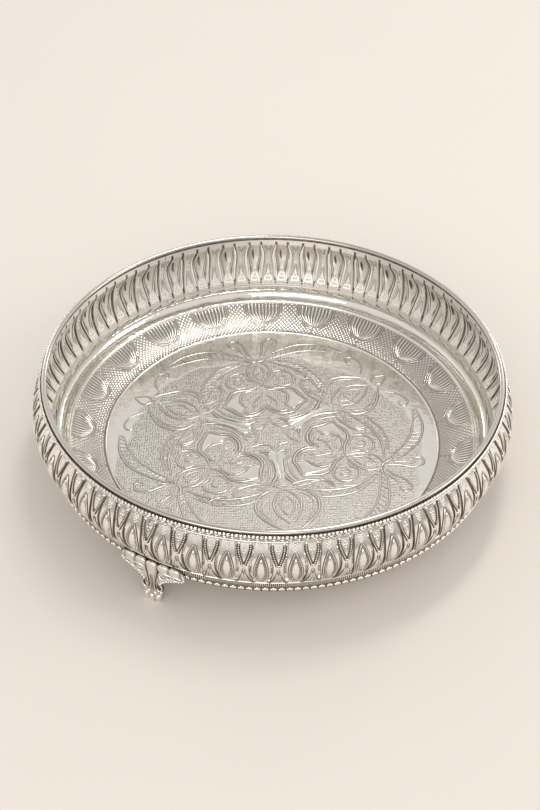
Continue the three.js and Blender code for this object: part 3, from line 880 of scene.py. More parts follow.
class Barrel:
    """The gallery's wall; its places are arc lengths from a marquise's middle and shares of the height
    of the slots"""

    oval_outline = ((0, 3.1), (0.12, 2.9), (0.26, 1.9), (0.42, 3.2), (0.62, 4.3), (0.84, 3.9), (1, 3.0))

    def __init__(self, sizes):
        self.sizes = sizes
        self.bottom = underside + sizes.base_rail
        self.top = gallery_top - sizes.neck - sizes.top_rail
        self.end_radius = sizes.rim_radius + sizes.shoulder
        self.belly_radius = sizes.rim_radius + sizes.belly
        self.rail_radius = sizes.rim_radius + 1.8 * mm
        self.swell = self.belly_radius - self.end_radius
        self.pitch_angle = 2 * pi / (3 * sizes.motifs)
        self.pitch = self.pitch_angle * self.belly_radius
        self.oval_run = np.array(smooth(self.oval_outline))

    def radius(self, t):
        return self.end_radius + self.swell * sin(pi * min(max(t, 0), 1))

    def place(self, along, t, lift=0.0, inside=False):
        """Point and normal on the outer or the inner face"""
        slope = self.swell * pi * cos(pi * min(max(t, 0), 1)) / (self.top - self.bottom)
        size = hypot(1, slope)
        out, up = 1 / size, -slope / size
        radius = self.radius(t)
        if inside:
            radius -= self.sizes.wall
            out, up = -out, -up
        azimuth = along / self.belly_radius
        z = self.bottom + (self.top - self.bottom) * t
        normal = polar(azimuth, out, up)
        return polar(azimuth, radius, z) + normal * lift, normal

    def rail(self, along, radius, z):
        """Point and outward normal on a rail"""
        azimuth = along / self.belly_radius
        return polar(azimuth, radius, z), polar(azimuth, 1, 0)

    def plate_half(self, t):
        sway = self.sizes.sway * sin(pi * t) * sin(2 * pi * (t - 0.37))
        return self.sizes.plate_end + (self.sizes.plate_half - self.sizes.plate_end) * sin(pi * t) + sway

    def oval(self, t):
        """Half width of the pointed oval on the back of a plate, with a waist under it"""
        return np.interp(t, self.oval_run[:, 0], self.oval_run[:, 1]) * mm

    def slot(self, t):
        return self.sizes.slot_end + (self.sizes.slot - self.sizes.slot_end) * sin(pi * t)

    def columns(self, t):
        """Places of one motif's columns, and how bright each is outside and inside; painted shade beside the
        slots, inside round the oval too, and outside low on the barrel"""
        edge = self.plate_half(t)
        far = edge + self.slot(t)
        rim = 0.4 * mm
        band = edge - 0.35 * mm
        oval = min(self.oval(t), band - rim - 0.1 * mm)
        half = [0, oval / 2, oval, oval + rim, band, edge, far, far + rim, far + 2 * rim]
        # Painted shade outside: the bar's middle and the sides are darker low on the barrel, and the slot
        # edges are darker
        bar = 0.35 if t < 0.5 else 0.85
        side = 0.5 if t < 0.3 else 0.85
        outside = [0.95, 0.95, 0.95, 0.95, 0.95, 0.45, 0.45, 0.9, side]
        at_waist = max(1 - abs(t - 0.27) / 0.16, 0)
        at_swell = max(1 - abs(t - 0.68) / 0.22, 0)
        # Painted shade inside: dark round the oval, along the slots, and in the bands beside them at the
        # waist and the swell
        inside = [0.9, 0.95, 0.95, 0.12, 0.95 - 0.5 * at_waist, 0.0, 0.0, 0.85 - 0.6 * at_swell, 1]
        right = list(zip(half, outside, inside))
        left = [(-x, *brightness) for x, *brightness in reversed(right[1:])]
        return [(-self.pitch / 2, bar, 1), *left, *right]

    def levels(self):
        """Share of the slots' height, outer radius and height, inner radius and height, from the bottom up"""
        sizes = self.sizes
        bead, inner = sizes.bead_reach, sizes.ledge_inner
        wall = self.end_radius - sizes.wall
        ledge = underside + sizes.ledge
        neck = gallery_top - sizes.neck
        half = sizes.neck_width / 2
        rail = self.rail_radius
        low = [
            (0, bead - 1.9 * mm, underside, inner, underside),
            (0, bead - 1.3 * mm, underside + 0.5 * mm, inner, underside + 0.5 * mm),
            (0, bead - 1.2 * mm, underside + 3.8 * mm, inner, ledge - 2 * mm),
            (0, bead - 1.2 * mm, underside + 4.4 * mm, inner, ledge),
            (0, bead - 1.0 * mm, self.bottom - 0.8 * mm, wall, ledge),
        ]
        bars = []
        for t in np.linspace(0, 1, 19):
            z = self.bottom + (self.top - self.bottom) * t
            bars.append((t, self.radius(t), z, self.radius(t) - sizes.wall, z))
        high = [
            (1, rail, self.top + 0.5 * mm, wall, self.top + 0.5 * mm),
            (1, rail, self.top + 0.9 * mm, wall, self.top + 1.9 * mm),
            (1, rail, neck - 0.7 * mm, wall, neck - 1 * mm),
            (1, rail - 0.6 * mm, neck, sizes.rim_radius - half, neck - 0.2 * mm),
            (1, sizes.rim_radius + half, neck, sizes.rim_radius - half, neck),
            (1, sizes.rim_radius + half, gallery_top, sizes.rim_radius - half, gallery_top),
        ]
        return low, bars, high

    def hollow(self, t, column):
        """Depth of the pointed hollow in the back of a marquise's plate"""
        s = (t - 0.27) / 0.7
        if not 0 < s < 1:
            return 0.0
        at = column / (self.oval(t) - 0.6 * mm)
        return 0.9 * mm * max(0.0, 1 - at**2) * sin(pi * s) ** 0.5


def gallery_wall(barrel):
    """Pierced wall of one section, closed at its joints"""
    sizes = barrel.sizes
    body = Body()
    low, bars, high = barrel.levels()
    end = sizes.motifs * barrel.pitch / 2 - sizes.joint / 2
    outer, inner = [], []
    for t, outer_radius, outer_z, inner_radius, inner_z in [*low, *bars, *high]:
        runs = []
        for k in range(sizes.motifs):
            middle = (k + 0.5 - sizes.motifs / 2) * barrel.pitch
            runs += [(middle + column, column, *bright) for column, *bright in barrel.columns(t)]
        runs.append((end, end, 0.35, 1))
        for face, radius, z, row in ((0, outer_radius, outer_z, outer), (1, inner_radius, inner_z, inner)):
            indices = []
            for along, column, *brightness in runs:
                deep = barrel.hollow(t, column) if face and 0 < t < 1 else 0.0
                bright = brightness[face]
                # Painted shade: the neck under the rim and the grounds of the outer rails between their beads
                # are dark; the inner rails are bright
                if outer_z > barrel.top + 1 * mm:
                    bright = 1.0 if face and outer_z < gallery_top - 1.5 * mm else 0.1
                elif t <= 0 or t >= 1 and not face:
                    bright = 0.95 if face else 0.25
                indices.append(len(body.points))
                azimuth = min(max(along, -end), end) / barrel.belly_radius
                body.points.append(polar(azimuth, radius + deep, z))
                body.relief_and_painted_light.append(bright)
            row.append(indices)
    wide = len(outer[0])
    first_bar, last_bar = len(low), len(low) + len(bars) - 1
    columns = wide // sizes.motifs
    slots = {k * columns + column for k in range(sizes.motifs) for column in (3, columns - 4)}

    def skin(first, second, j, back=False):
        """Adds a face between two rows, from a column to the next one"""
        corners = [first[j + 1], second[j + 1], second[j]]
        body.faces.append([first[j], *(corners[::-1] if back else corners)])

    def through(i, j, back):
        """Adds a face through the wall, from a row to the next one"""
        corners = [outer[i][j], inner[i][j], inner[i + 1][j], outer[i + 1][j]]
        body.faces.append(corners[::-1] if back else corners)

    for i in range(len(outer) - 1):
        for j in range(wide - 1):
            if first_bar <= i < last_bar and j in slots:
                through(i, j, False)
                through(i, j + 1, True)
            else:
                skin(outer[i], outer[i + 1], j)
                skin(inner[i], inner[i + 1], j, back=True)
        through(i, 0, True)
        through(i, wide - 1, False)
    for j in slots:
        skin(outer[first_bar], inner[first_bar], j)
        skin(outer[last_bar], inner[last_bar], j, back=True)
    for j in range(wide - 1):
        skin(outer[0], inner[0], j, back=True)
        skin(outer[-1], inner[-1], j)
    return body


class Motif:
    """Ornament of one marquise and of the V bar to its right, on one face of the gallery"""

    step = 0.95

    def __init__(self, barrel):
        self.barrel = barrel
        self.body = Body()
        self.bead = barrel.sizes.bead

    def places(self, run, middle=0.0, side=1, inside=False):
        """Places along a smooth run of (mm from the middle, share of the height)"""
        high = (self.barrel.top - self.barrel.bottom) / mm
        even = spaced([(x, t * high) for x, t in smooth(run)], self.step)
        return [self.barrel.place(middle + side * x * mm, y / high, 0, inside) for x, y in even]

    def both(self, run, width, height, middle=0.0, inside=False, **options):
        """A ridge and its mirror image"""
        for side in (-1, 1):
            self.body.ridge(self.places(run, middle, side, inside), width * mm, height * mm, **options)

    def dot(self, x, t, size=1.0, middle=0.0, inside=False, lift=0.0):
        place = self.barrel.place(middle + x * mm, t, lift, inside)
        self.body.bead(place, self.bead * size)

    def dots(self, spots, middle=0.0, inside=False):
        for x, t, size in spots:
            self.dot(x, t, size, middle, inside)

    def lens(self, half, foot, tip):
        run = []
        for s in np.linspace(0, 1, 15):
            run.append((half / mm * max(1 - abs(2 * s - 1) ** 1.9, 0.0) ** 0.92, foot + (tip - foot) * s))
        return run

    def plate_edge(self, t):
        return self.barrel.plate_half(t) / mm

    def bar_edge(self, t):
        return self.barrel.pitch / 2 / mm - self.plate_edge(t) - self.barrel.slot(t) / mm

    def raised_beads(self, run, radius, spacing, lift, middle=0.0, inside=False):
        """A row of beads along a run and its mirror image, this high above the wall"""
        for side in (-1, 1):
            raised = [(p + n * lift, n) for p, n in self.places(run, middle, side, inside)]
            self.body.beads_along(raised, radius, spacing)

    def marquise(self):
        """Smooth outer ridge, bead row on a dark strip of painted shade, and a polished dome"""
        sizes = self.barrel.sizes
        foot, tip = sizes.marquise_foot, sizes.marquise_tip
        self.both(self.lens(sizes.marquise - 0.2 * mm, foot, tip), 0.85, 0.7, taper=0.05, crest=0.9, dark=0.7)
        row = self.lens(sizes.marquise - 1.15 * mm, foot + 0.06, tip - 0.05)
        # A low ridge with no bright crest: painted shade under the bead row
        self.both(row, 1.15, 0.12, taper=0.05, crest=0.0, dark=0)
        self.raised_beads(row, self.bead, 1.15 * mm, 0.2 * mm)
        half = sizes.marquise - 1.7 * mm
        places = []
        for s in np.linspace(0, 1, 15):
            t = foot + 0.1 + (tip - 0.085 - foot - 0.1) * s
            reach = half * max(1 - abs(2 * s - 1) ** 1.9, 0.0)
            places.append([self.barrel.place(x * reach, t) for x in np.linspace(-1, 1, 9)])
        self.body.cushion(places, sizes.dome)

    def finial(self):
        """Beads and a star above the marquise"""
        self.dots([(0, 0.85, 2.0), (-0.95, 0.875, 1.7), (0.95, 0.875, 1.7), (0, 0.9, 2.0)])
        for k in range(5):
            turn = radians(90 + 72 * k)
            self.dot(1.35 * cos(turn), 0.957 + 0.038 * sin(turn), 2.3)
        self.dot(0, 0.957, 2.6, lift=0.3 * mm)

    def bar(self):
        """V of two loops, dark with painted shade, with bright beads over a fluted skirt"""
        middle = self.barrel.pitch / 2
        row = [(0.45, 0.58), (1.2, 0.66), (2.6, 0.77), (3.5, 0.87), (3.6, 0.92), (3.0, 0.96)]
        # Ridges with no bright crest: painted shade under the bead rows
        self.both(row, 2.1, 0.4, middle, taper=0.06, crest=0.0, dark=0)
        self.raised_beads(row, self.bead * 1.5, 1.3 * mm, 0.45 * mm, middle)
        self.dots([(0, 0.82, 2.0), (-0.85, 0.865, 2.6), (0.85, 0.865, 2.6), (0, 0.915, 2.2)], middle)
        self.dots([(0, 0.775, 1.3), (-3.4, 0.97, 3.2), (3.4, 0.97, 3.2)], middle)
        self.dot(0, 0.61, 2.0, middle, lift=0.3 * mm)
        self.dot(0, 0.565, 2.7, middle)
        self.both([(0.25, 0.53), (0.8, 0.49), (0.75, 0.45), (0.3, 0.42)], 0.5, 0.7, middle)
        for reach, start in ((3.4, 0.43), (2.0, 0.42), (0.6, 0.41)):
            skirt = [(0.2 + 0.12 * reach, start), (0.3 * reach, 0.32), (0.62 * reach, 0.16), (reach, 0.02)]
            self.both(skirt, 0.75, 0.55, middle, taper=0.25)
        swag = [(0.9, 0.4), (1.7, 0.26), (3.0, 0.12), (4.6, 0.05), (6.4, 0.02)]
        self.both(swag, 1.2, 0.8, middle, taper=0.15)

    def rails(self):
        """Ribs and a bead row below, arches and two rows of beads above"""
        barrel = self.barrel
        sizes = barrel.sizes
        pitch = barrel.pitch
        rib_heights = np.linspace(underside + 4.2 * mm, barrel.bottom - 0.5 * mm, 4)
        for k in range(16):
            along = (k + 0.5) * pitch / 16
            run = [barrel.rail(along, sizes.bead_reach - 1.15 * mm, z) for z in rib_heights]
            self.body.ridge(run, 0.8 * mm, 0.5 * mm, 0.3)
        high = gallery_top - sizes.neck - 0.1 * mm
        for k in range(4):
            along = (k + 0.5) * pitch / 4
            for shift, size in ((0, 1.5), (-1.2, 0.95), (1.2, 0.95)):
                reach = sizes.bead_reach - (size + 0.1) * mm
                self.body.bead(barrel.rail(along + shift * mm, reach, underside + 2.3 * mm), size * mm)
            arch = []
            for s in np.linspace(0, pi, 9):
                z = barrel.top + 0.5 * mm + 1.7 * mm * sin(s)
                arch.append(barrel.rail(along + cos(s) * pitch / 8, barrel.rail_radius, z))
            self.body.ridge(arch, 0.6 * mm, 0.5 * mm, 0.1)
            self.body.bead(barrel.rail(along, sizes.rim_radius + 1.7 * mm, barrel.top + 1.0 * mm), 0.7 * mm)
            self.body.bead(barrel.rail(along + pitch / 8, sizes.rim_radius + 2.7 * mm, high), 1.3 * mm)
            self.body.bead(barrel.rail(along, sizes.rim_radius + 2.6 * mm, high), 1.1 * mm)
        for z, radius, width in (
            (barrel.bottom - 0.15 * mm, barrel.end_radius - 0.25 * mm, 0.8 * mm),
            (barrel.top + 0.1 * mm, barrel.end_radius - 0.1 * mm, 0.7 * mm),
        ):
            run = [barrel.rail(x, radius, z) for x in np.linspace(-0.1 * mm, pitch + 0.1 * mm, 13)]
            self.body.ridge(run, width, 0.6 * mm, 0)

    def inside(self):
        """Pointed ovals with a waist, S-curved edges of the bars with rows of beads, and bead clusters"""
        middle = self.barrel.pitch / 2
        oval = [(self.barrel.oval(t) / mm - 0.35, t) for t in np.linspace(0.2, 0.98, 11)]
        self.both(oval, 1.0, 0.6, inside=True, taper=0.1, dark=0)
        # A low ridge, darker at its crest, down the oval's hollow: a painted dark reflection
        painted_dark_reflection = [(0.5, 0.5), (0.9, 0.58), (1.3, 0.68), (1.1, 0.76)]
        painted_dark_reflection = self.places(painted_dark_reflection, inside=True)
        self.body.ridge(painted_dark_reflection, 1.1 * mm, 0.1 * mm, 0.4, crest=0.2, sunk=1.0 * mm, dark=0)
        edge = [(self.bar_edge(t) - 0.95, t) for t in np.linspace(0.02, 0.98, 11)]
        self.both(edge, 1.0, 0.5, middle, inside=True, taper=0.05, dark=0)
        self.raised_beads(edge, self.bead * 1.4, 1.25 * mm, 0.3 * mm, middle, True)
        pile = [
            (-1.9, 0.04, 3.3), (0, 0.035, 3.0), (1.9, 0.04, 3.3), (-0.95, 0.11, 2.9), (0.95, 0.11, 2.9),
            (0, 0.175, 2.6),
        ]
        self.dots(pile, 0.0, True)
        self.dots(pile, middle, True)
        tuft = ((0, 0.23), (0, 0.28), (-0.5, 0.25), (0.5, 0.25))
        self.dots([(x, t, 1.8) for x, t in tuft], 0.0, True)
        chain = (
            (0, 0.44), (-0.8, 0.49), (0.8, 0.49), (0, 0.54), (-0.8, 0.59), (0.8, 0.59), (0, 0.64),
            (0, 0.71),
        )
        self.dots([(x, t, 2.4) for x, t in chain], middle, True)
        self.both([(0.5, 0.4), (1.0, 0.3), (1.7, 0.2), (2.4, 0.14)], 0.6, 0.4, middle, True)
        self.both([(0.4, 0.74), (0.9, 0.82), (1.7, 0.92), (2.4, 0.98)], 0.6, 0.4, middle, True)


class TRAY_OT_gallery(Operator):
    """Three pierced gallery sections, each a wall with its repeated ornament"""

    bl_idname = "tray.gallery"
    bl_label = "Gallery"

    names = ("front", "back_right", "back_left")

    def execute(self, context):
        sizes = context.scene.tray_gallery
        barrel = Barrel(sizes)
        outside, inside = Motif(barrel), Motif(barrel)
        outside.marquise()
        outside.finial()
        outside.bar()
        outside.rails()
        inside.inside()
        wall = gallery_wall(barrel)
        span = sizes.motifs * barrel.pitch_angle
        material = cast_silver(context)
        for k, name in enumerate(self.names):
            middle = sizes.first_joint + (k + 0.5) * span
            section = repeated(wall, f"{name}_wall", material, first=middle)
            first = middle - (sizes.motifs - 1) / 2 * barrel.pitch_angle
            pieces = [section]
            for motif, face in ((outside, "outer"), (inside, "inner")):
                pieces.append(repeated(
                    motif.body, f"{name}_{face}_ornament", material, copies=sizes.motifs,
                    turn=barrel.pitch_angle, first=first, sides=6, rings=4,
                ))
            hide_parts(f"gallery_{name}")
            for piece in pieces:
                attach(piece, "root")
        return {"FINISHED"}


class TRAY_OT_rim(Operator):
    """Polished half-round hoop on the gallery's neck"""

    bl_idname = "tray.rim"
    bl_label = "Rim"

    def execute(self, context):
        middle = context.scene.tray_gallery.rim_radius
        half = rim_high.x - middle
        rise = rim_high.z - rim_low.z
        foot = 0.3
        outline, bright = [], []
        for turn in np.linspace(0, pi, 17):
            z = rim_low.z + rise * (foot + (1 - foot) * sin(turn))
            outline.append((middle + half * cos(turn), z))
            # Painted shade: the hoop darkens towards its foot on both sides, and underneath
            bright.append(0.2 + 0.75 * min(1.8 * sin(turn), 1))
        outline += [(middle - half * 0.9, rim_low.z), (middle + half * 0.9, rim_low.z)]
        bright += [0.2, 0.2]
        body = Body()
        turned(body, [*outline, outline[0]][::-1], 360, np.array([*bright, bright[0]])[::-1, None])
        piece = repeated(body, "rim_hoop", polished_silver(context))
        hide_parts("rim_ring")
        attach(piece, "root")
        return {"FINISHED"}


class Foot:
    """One cast foot at azimuth 0; a place is an arc length from its middle, a height and a lift"""

    wing = ((0, 11.5), (3.6, 12.5), (5.6, 15.6), (8, 18), (13, 20.6), (19, 22.4), (21, 23.6))

    def __init__(self, sizes):
        self.sizes = sizes
        self.body = Body()
        run = np.array(smooth(self.wing))
        self.lower = lambda across: np.interp(abs(across) / mm, run[:, 0], run[:, 1]) * mm

    def place(self, across, z, lift=0.0):
        azimuth = across / self.sizes.face
        return polar(azimuth, self.sizes.face + lift, z), polar(azimuth, 1, 0)

    def upper(self, across):
        sizes = self.sizes
        lobes = abs(cos(pi * across / sizes.lobe))
        if abs(across) > 2.5 * sizes.lobe:
            beyond = (abs(across) - 2.5 * sizes.lobe) / (sizes.half - 2.5 * sizes.lobe)
            return sizes.top - sizes.notch - 4.5 * mm * beyond**2
        return sizes.top - sizes.notch * (1 - lobes) ** 2.2

    def front(self, across, z):
        """Lift of the bracket's face: lobes above, a shallow cove below them"""
        sizes = self.sizes
        lobes = abs(cos(pi * across / sizes.lobe)) ** 0.6
        low = 24.5 * mm if abs(across) > sizes.lobe / 2 else 12 * mm
        body = float(fade(z, low, low + 3 * mm)) * (abs(across) < 2.5 * sizes.lobe)
        return sizes.thickness + sizes.bulge * (lobes * body - 0.5 * (1 - body))

    def bracket(self):
        sizes = self.sizes
        columns = np.linspace(-sizes.half, sizes.half, 113)
        rows = []
        relief_and_painted_light = []
        for share_up in np.linspace(0, 1, 33):
            row, marks = [], []
            for across in columns:
                low, high = self.lower(across), self.upper(across)
                z = low + (high - low) * share_up
                lift = self.front(across, z)
                rounding = min(share_up, 1 - share_up) * (high - low) / (0.9 * mm)
                lift -= 0.8 * mm * (1 - min(rounding, 1)) ** 2
                row.append(self.place(across, z, lift)[0])
                # Painted shade: darker in the notches between the lobes; the back below is darker too
                marks.append(0.15 + 0.85 * abs(cos(pi * across / sizes.lobe)) ** 0.5)
            rows.append(row)
            relief_and_painted_light.append(marks)
        back = []
        for share_up in (1, 0):
            back.append([
                self.place(x, self.lower(x) + (self.upper(x) - self.lower(x)) * share_up)[0] for x in columns
            ])
        relief_and_painted_light += [[0.3] * len(columns)] * 2
        first = self.body.grid([*rows, *back], relief_and_painted_light, round_rows=True)
        wide = len(columns)
        ring = [first + k * wide for k in range(len(rows) + 2)]
        self.body.faces.append(ring)
        self.body.faces.append([k + wide - 1 for k in reversed(ring)])

    def leg(self):
        """Stem that narrows to the ankle and spreads into the toe"""
        sizes = self.sizes
        face = sizes.face
        # Height in millimetres, half width, and how far back and front stand out from the face
        stations = [
            (0.0, sizes.toe * 0.82, -4.6 * mm, 2.2 * mm),
            (0.6, sizes.toe * 0.92, -4.9 * mm, 2.7 * mm),
            (3.2, sizes.toe, -4.6 * mm, 3.1 * mm),
            (6.5, sizes.toe * 0.86, -3.2 * mm, 2.6 * mm),
            (9.8, sizes.ankle, -1.2 * mm, 2.3 * mm),
            (14.0, sizes.ankle, -0.3 * mm, 2.2 * mm),
            (19.0, sizes.ankle * 1.15, 0.1 * mm, 2.2 * mm),
            (24.0, sizes.ankle * 1.2, 0.1 * mm, 2.0 * mm),
        ]
        run = smooth([(z, half / mm, (face + a) / mm, (face + b) / mm) for z, half, a, b in stations], 5)
        rows = []
        for z, half, back, front in run:
            row = []
            for k in range(24):
                turn = 2 * pi * k / 24
                across = np.sign(sin(turn)) * abs(sin(turn)) ** 0.8 * half
                radius = (front + back) / 2 + np.sign(cos(turn)) * abs(cos(turn)) ** 0.8 * (front - back) / 2
                row.append(polar(across * mm / face, radius * mm, max(z, 0) * mm))
            rows.append(row)
        first = self.body.grid(rows, 0.55, round_columns=True)
        last = first + (len(rows) - 1) * 24
        self.body.faces.append([first + k for k in reversed(range(24))])
        self.body.faces.append([last + k for k in range(24)])

    def knob(self, across, z, lift, radii):
        """Rounded knob, long in height"""
        rows = []
        for polar_turn in np.linspace(0, pi, 11):
            row = []
            for turn in np.linspace(0, 2 * pi, 14, endpoint=False):
                x = across + radii[0] * sin(polar_turn) * sin(turn)
                out = lift + radii[1] * sin(polar_turn) * cos(turn)
                row.append(self.place(x, max(z - radii[2] * cos(polar_turn), 0.05 * mm), out)[0])
            rows.append(row)
        self.body.grid(rows, 1.0, round_columns=True)

    def line(self, run, width, height, lift, beads=0.0):
        """A ridge on the bracket's face and its mirror image"""
        for side in (-1, 1):
            even = spaced(smooth(run), 0.5)
            places = [self.place(side * x * mm, z * mm, lift * mm) for x, z in even]
            self.body.ridge(places, width * mm, height * mm, sunk=0.8 * mm)
            if beads:
                raised = [(p + n * height * mm * 0.8, n) for p, n in places]
                self.body.beads_along(raised, beads * mm, beads * 2.3 * mm)

    def ornament(self):
        """Scrolls beside the stem, rolled edge with beads, and the curls under the lobes"""
        self.line([(3.9, 27.5), (3.5, 24), (2.5, 19), (2.0, 14.5), (2.6, 10)], 0.9, 0.8, 2.4)
        self.line([(0.5, 22), (0.5, 17), (0.5, 12), (0.7, 9)], 0.6, 0.4, 2.5)
        curl = [(4.6, 22.5), (4.0, 18.5), (5.0, 15.6), (6.4, 13.0), (6.0, 10.2), (4.4, 9.2)]
        self.line([*curl, (3.4, 10.8), (4.4, 12.2)], 1.2, 1.0, 1.4)
        roll = [(4.6, 24.6), (8, 26.2), (12, 25.7), (15, 26), (18.4, 25.4), (20.2, 23.9), (18.8, 23.6)]
        self.line(roll, 1.1, 0.8, 1.7)
        self.line([(5, 22.6), (6.6, 21), (8.6, 21.4), (8.4, 23.2), (7, 23)], 0.9, 0.8, 1.7)
        self.line([(9.6, 23.4), (11.6, 22.4), (13.2, 23.2), (12.2, 24.2)], 0.8, 0.7, 1.7)
        edge = [(5.6, 15.6), (8.4, 18.7), (13, 21.1), (18.8, 23.0), (20.6, 24.6)]
        self.line(edge, 1.5, 0.6, 1.3, beads=0.75)
        self.line([(14.4, 23.6), (16, 23.2), (17.2, 24)], 0.8, 0.7, 1.7)

    def build(self):
        self.bracket()
        self.leg()
        self.ornament()
        for across, out in ((-3.8, 1.3), (0, 1.9), (3.8, 1.3)):
            self.knob(across * mm, 2.9 * mm, out * mm, (1.95 * mm, 2.1 * mm, 2.9 * mm))
        for across in (-2.1, 2.1):
            self.knob(across * mm, 6.6 * mm, 1.9 * mm, (1.3 * mm, 1.3 * mm, 1.7 * mm))
        for side in (-1, 1):
            self.knob(side * 5.2 * mm, 6.4 * mm, 0.4 * mm, (1.1 * mm, 1.4 * mm, 2.0 * mm))
        return self.body


class TRAY_OT_feet(Operator):
    """Three cast feet: lobed bracket, scrolls, stem and knobbed toe"""

    bl_idname = "tray.feet"
    bl_label = "Feet"

    names = ("front_left", "right", "back_left")

    def execute(self, context):
        body = Foot(context.scene.tray_foot).build()
        material = cast_silver(context)
        for k, name in enumerate(self.names):
            turn = context.scene.tray_gallery.first_joint + k * 2 * pi / 3
            piece = repeated(body, f"{name}_casting", material, first=turn, flatness=1.0)
            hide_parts(f"foot_{name}")
            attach(piece, "root")
        return {"FINISHED"}


class TRAY_OT_screws(Operator):
    """Finish of the foot screws"""

    bl_idname = "tray.screws"
    bl_label = "Foot screws"

    def execute(self, context):
        material, nodes = new_material("Screw steel")
        place = nodes.add("ShaderNodeTexCoord", output="Object")
        lines = nodes.noise(place, 0.5 * mm, 3.0)
        steel = context.scene.tray_finish.steel
        dull = tuple(0.7 * part for part in steel)
        base = nodes.mix(lines, (*steel, 1.0), (*dull, 1.0))
        bump = nodes.add("ShaderNodeBump", {"Height": lines * 0.02 * mm, "Distance": 1.0}, output="Normal")
        nodes.surface({"Base Color": base, "Metallic": 1.0, "Roughness": 0.3 + lines * 0.2, "Normal": bump})
        for name, node in frame["nodes"].items():
            if name.startswith("foot_screw"):
                node.data.materials.clear()
                node.data.materials.append(material)
        return {"FINISHED"}


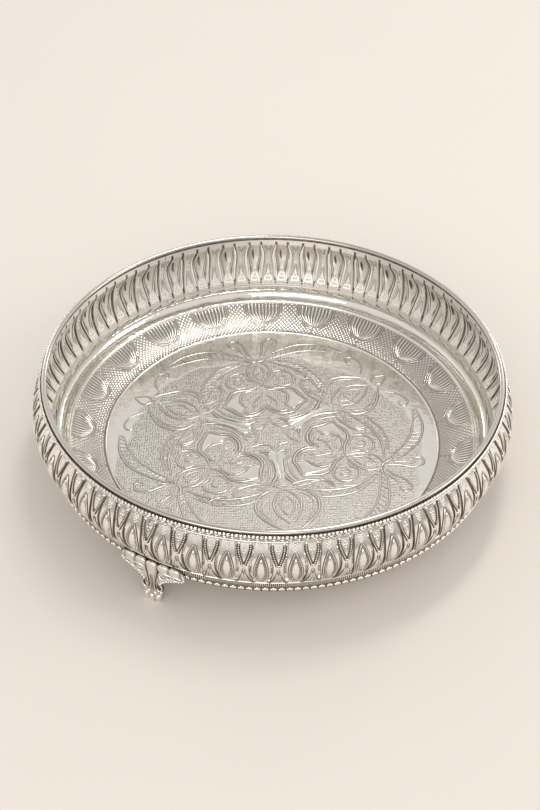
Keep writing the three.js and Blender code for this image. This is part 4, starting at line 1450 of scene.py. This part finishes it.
class TRAY_OT_stage(Operator):
    """Pale table, soft studio light and the camera"""

    bl_idname = "tray.stage"
    bl_label = "Stage"

    warm = (1.0, 0.98, 0.95)
    # Name, place, aim, size and power of each lamp
    lamps = (
        ("Overhead strip", (0.24, 0.55, 1.6), (0, 0.1, 0), (0.26, 0.7), 6.0),
        ("Front softbox", (-0.4, -1.75, 1.2), (0, 0, 0), (1.7, 0.8), 10.0),
        ("Right softbox", (1.8, 0.0, 1.0), (0, 0, 0), (1.0, 0.8), 5.0),
        ("Rear right strip", (1.2, 1.75, 0.8), (-0.12, 0, 0), (0.3, 0.6), 2.4),
        ("Rear left strip", (-1.2, 1.75, 0.8), (0.12, 0, 0), (0.3, 0.6), 1.6),
    )

    def table(self, context):
        body = Body()
        half = 40.0
        corners = [[(-half, -half, 0), (half, -half, 0)], [(-half, half, 0), (half, half, 0)]]
        body.grid(corners, 1)
        floor = body.object("table_top")
        material, nodes = new_material("Pale table")
        place = nodes.add("ShaderNodeTexCoord", output="Object")
        tone = nodes.noise(place, 400 * mm, 2.0)
        pale = context.scene.tray_finish.cloth
        shade = tuple(0.97 * part for part in pale)
        base = nodes.mix(tone, (*pale, 1.0), (*shade, 1.0))
        nodes.surface({"Base Color": base, "Roughness": 0.75})
        floor.data.materials.append(material)

    def lamp(self, name, place, aim, size, energy):
        light = bpy.data.lights.new(name, "AREA")
        light.shape = "RECTANGLE"
        light.size, light.size_y = size
        light.energy = energy
        light.color = self.warm
        made = bpy.data.objects.new(name, light)
        bpy.context.scene.collection.objects.link(made)
        made.location = place
        made.rotation_euler = (Vector(aim) - Vector(place)).to_track_quat("-Z", "Y").to_euler()
        made.visible_camera = False

    def sky(self):
        world = bpy.data.worlds.new("Studio")
        world.use_nodes = True
        nodes = Nodes(world.node_tree)
        direction = nodes.add("ShaderNodeTexCoord", output="Generated")
        height = nodes.add("ShaderNodeSeparateXYZ", {"Vector": direction}, output="Z")
        behind = nodes.add(
            "ShaderNodeValToRGB", {"Fac": height},
            stops=(
                (0.0, (0.86, 0.83, 0.79)), (0.30, (1.0, 0.97, 0.93)), (0.46, (0.98, 0.95, 0.91)),
                (0.55, (0.78, 0.755, 0.72)), (0.74, (0.70, 0.68, 0.65)), (0.88, (0.46, 0.445, 0.42)),
            ),
        )
        front = nodes.add(
            "ShaderNodeValToRGB", {"Fac": height},
            stops=(
                (0.0, (0.32, 0.30, 0.27)), (0.14, (0.50, 0.48, 0.45)), (0.30, (0.84, 0.82, 0.78)),
                (0.56, (0.90, 0.88, 0.85)), (0.80, (0.88, 0.86, 0.83)), (0.95, (0.50, 0.48, 0.45)),
            ),
        )
        around = nodes.mix(height.other("Y").between(-0.25, 0.2), front, behind)
        background = nodes.add("ShaderNodeBackground", {"Color": around, "Strength": 1.0})
        nodes.add("ShaderNodeOutputWorld", {"Surface": background})
        bpy.context.scene.world = world

    def execute(self, context):
        stage = context.scene.tray_stage
        self.table(context)
        self.sky()
        for lamp in self.lamps:
            self.lamp(*lamp)
        camera = bpy.data.objects.new("Camera", bpy.data.cameras.new("Camera"))
        context.scene.collection.objects.link(camera)
        camera.data.lens = stage.lens
        camera.data.sensor_width = 36.0
        middle = Vector((0, 0, rim_low.z + 1 * mm))
        back = Vector((0, -cos(stage.height), sin(stage.height)))
        camera.location = middle + back * stage.distance
        aim = Euler((pi / 2 - stage.tilt, 0, stage.turn)).to_matrix()
        camera.rotation_euler = (aim @ Matrix.Rotation(stage.roll, 3, "Z")).to_euler()
        context.scene.camera = camera
        context.scene.view_settings.view_transform = "Standard"
        return {"FINISHED"}


class TRAY_PT_panel(Panel):
    """Sidebar panel that lists the tray's operators"""

    bl_idname = "TRAY_PT_panel"
    bl_label = "Footed gallery tray"
    bl_space_type = "VIEW_3D"
    bl_region_type = "UI"
    bl_category = "Tray"

    def draw(self, context):
        for operator in operators:
            self.layout.operator(operator.bl_idname)


operators = (
    TRAY_OT_stage,
    TRAY_OT_pan,
    TRAY_OT_floor_chasing,
    TRAY_OT_side_chasing,
    TRAY_OT_gallery,
    TRAY_OT_rim,
    TRAY_OT_feet,
    TRAY_OT_screws,
)
groups = {
    "tray_pan": PanSizes,
    "tray_gallery": GallerySizes,
    "tray_foot": FootSizes,
    "tray_finish": Finishes,
    "tray_stage": StageSizes,
}


def register():
    for group in groups.values():
        bpy.utils.register_class(group)
    for name, group in groups.items():
        setattr(bpy.types.Scene, name, PointerProperty(type=group))
    for made in (*operators, TRAY_PT_panel):
        bpy.utils.register_class(made)


def unregister():
    for made in reversed((*operators, TRAY_PT_panel)):
        bpy.utils.unregister_class(made)
    for name, group in reversed(groups.items()):
        delattr(bpy.types.Scene, name)
        bpy.utils.unregister_class(group)


def main():
    register()
    for operator in operators:
        group, name = operator.bl_idname.split(".")
        getattr(getattr(bpy.ops, group), name)()


if __name__ == "__main__":
    main()
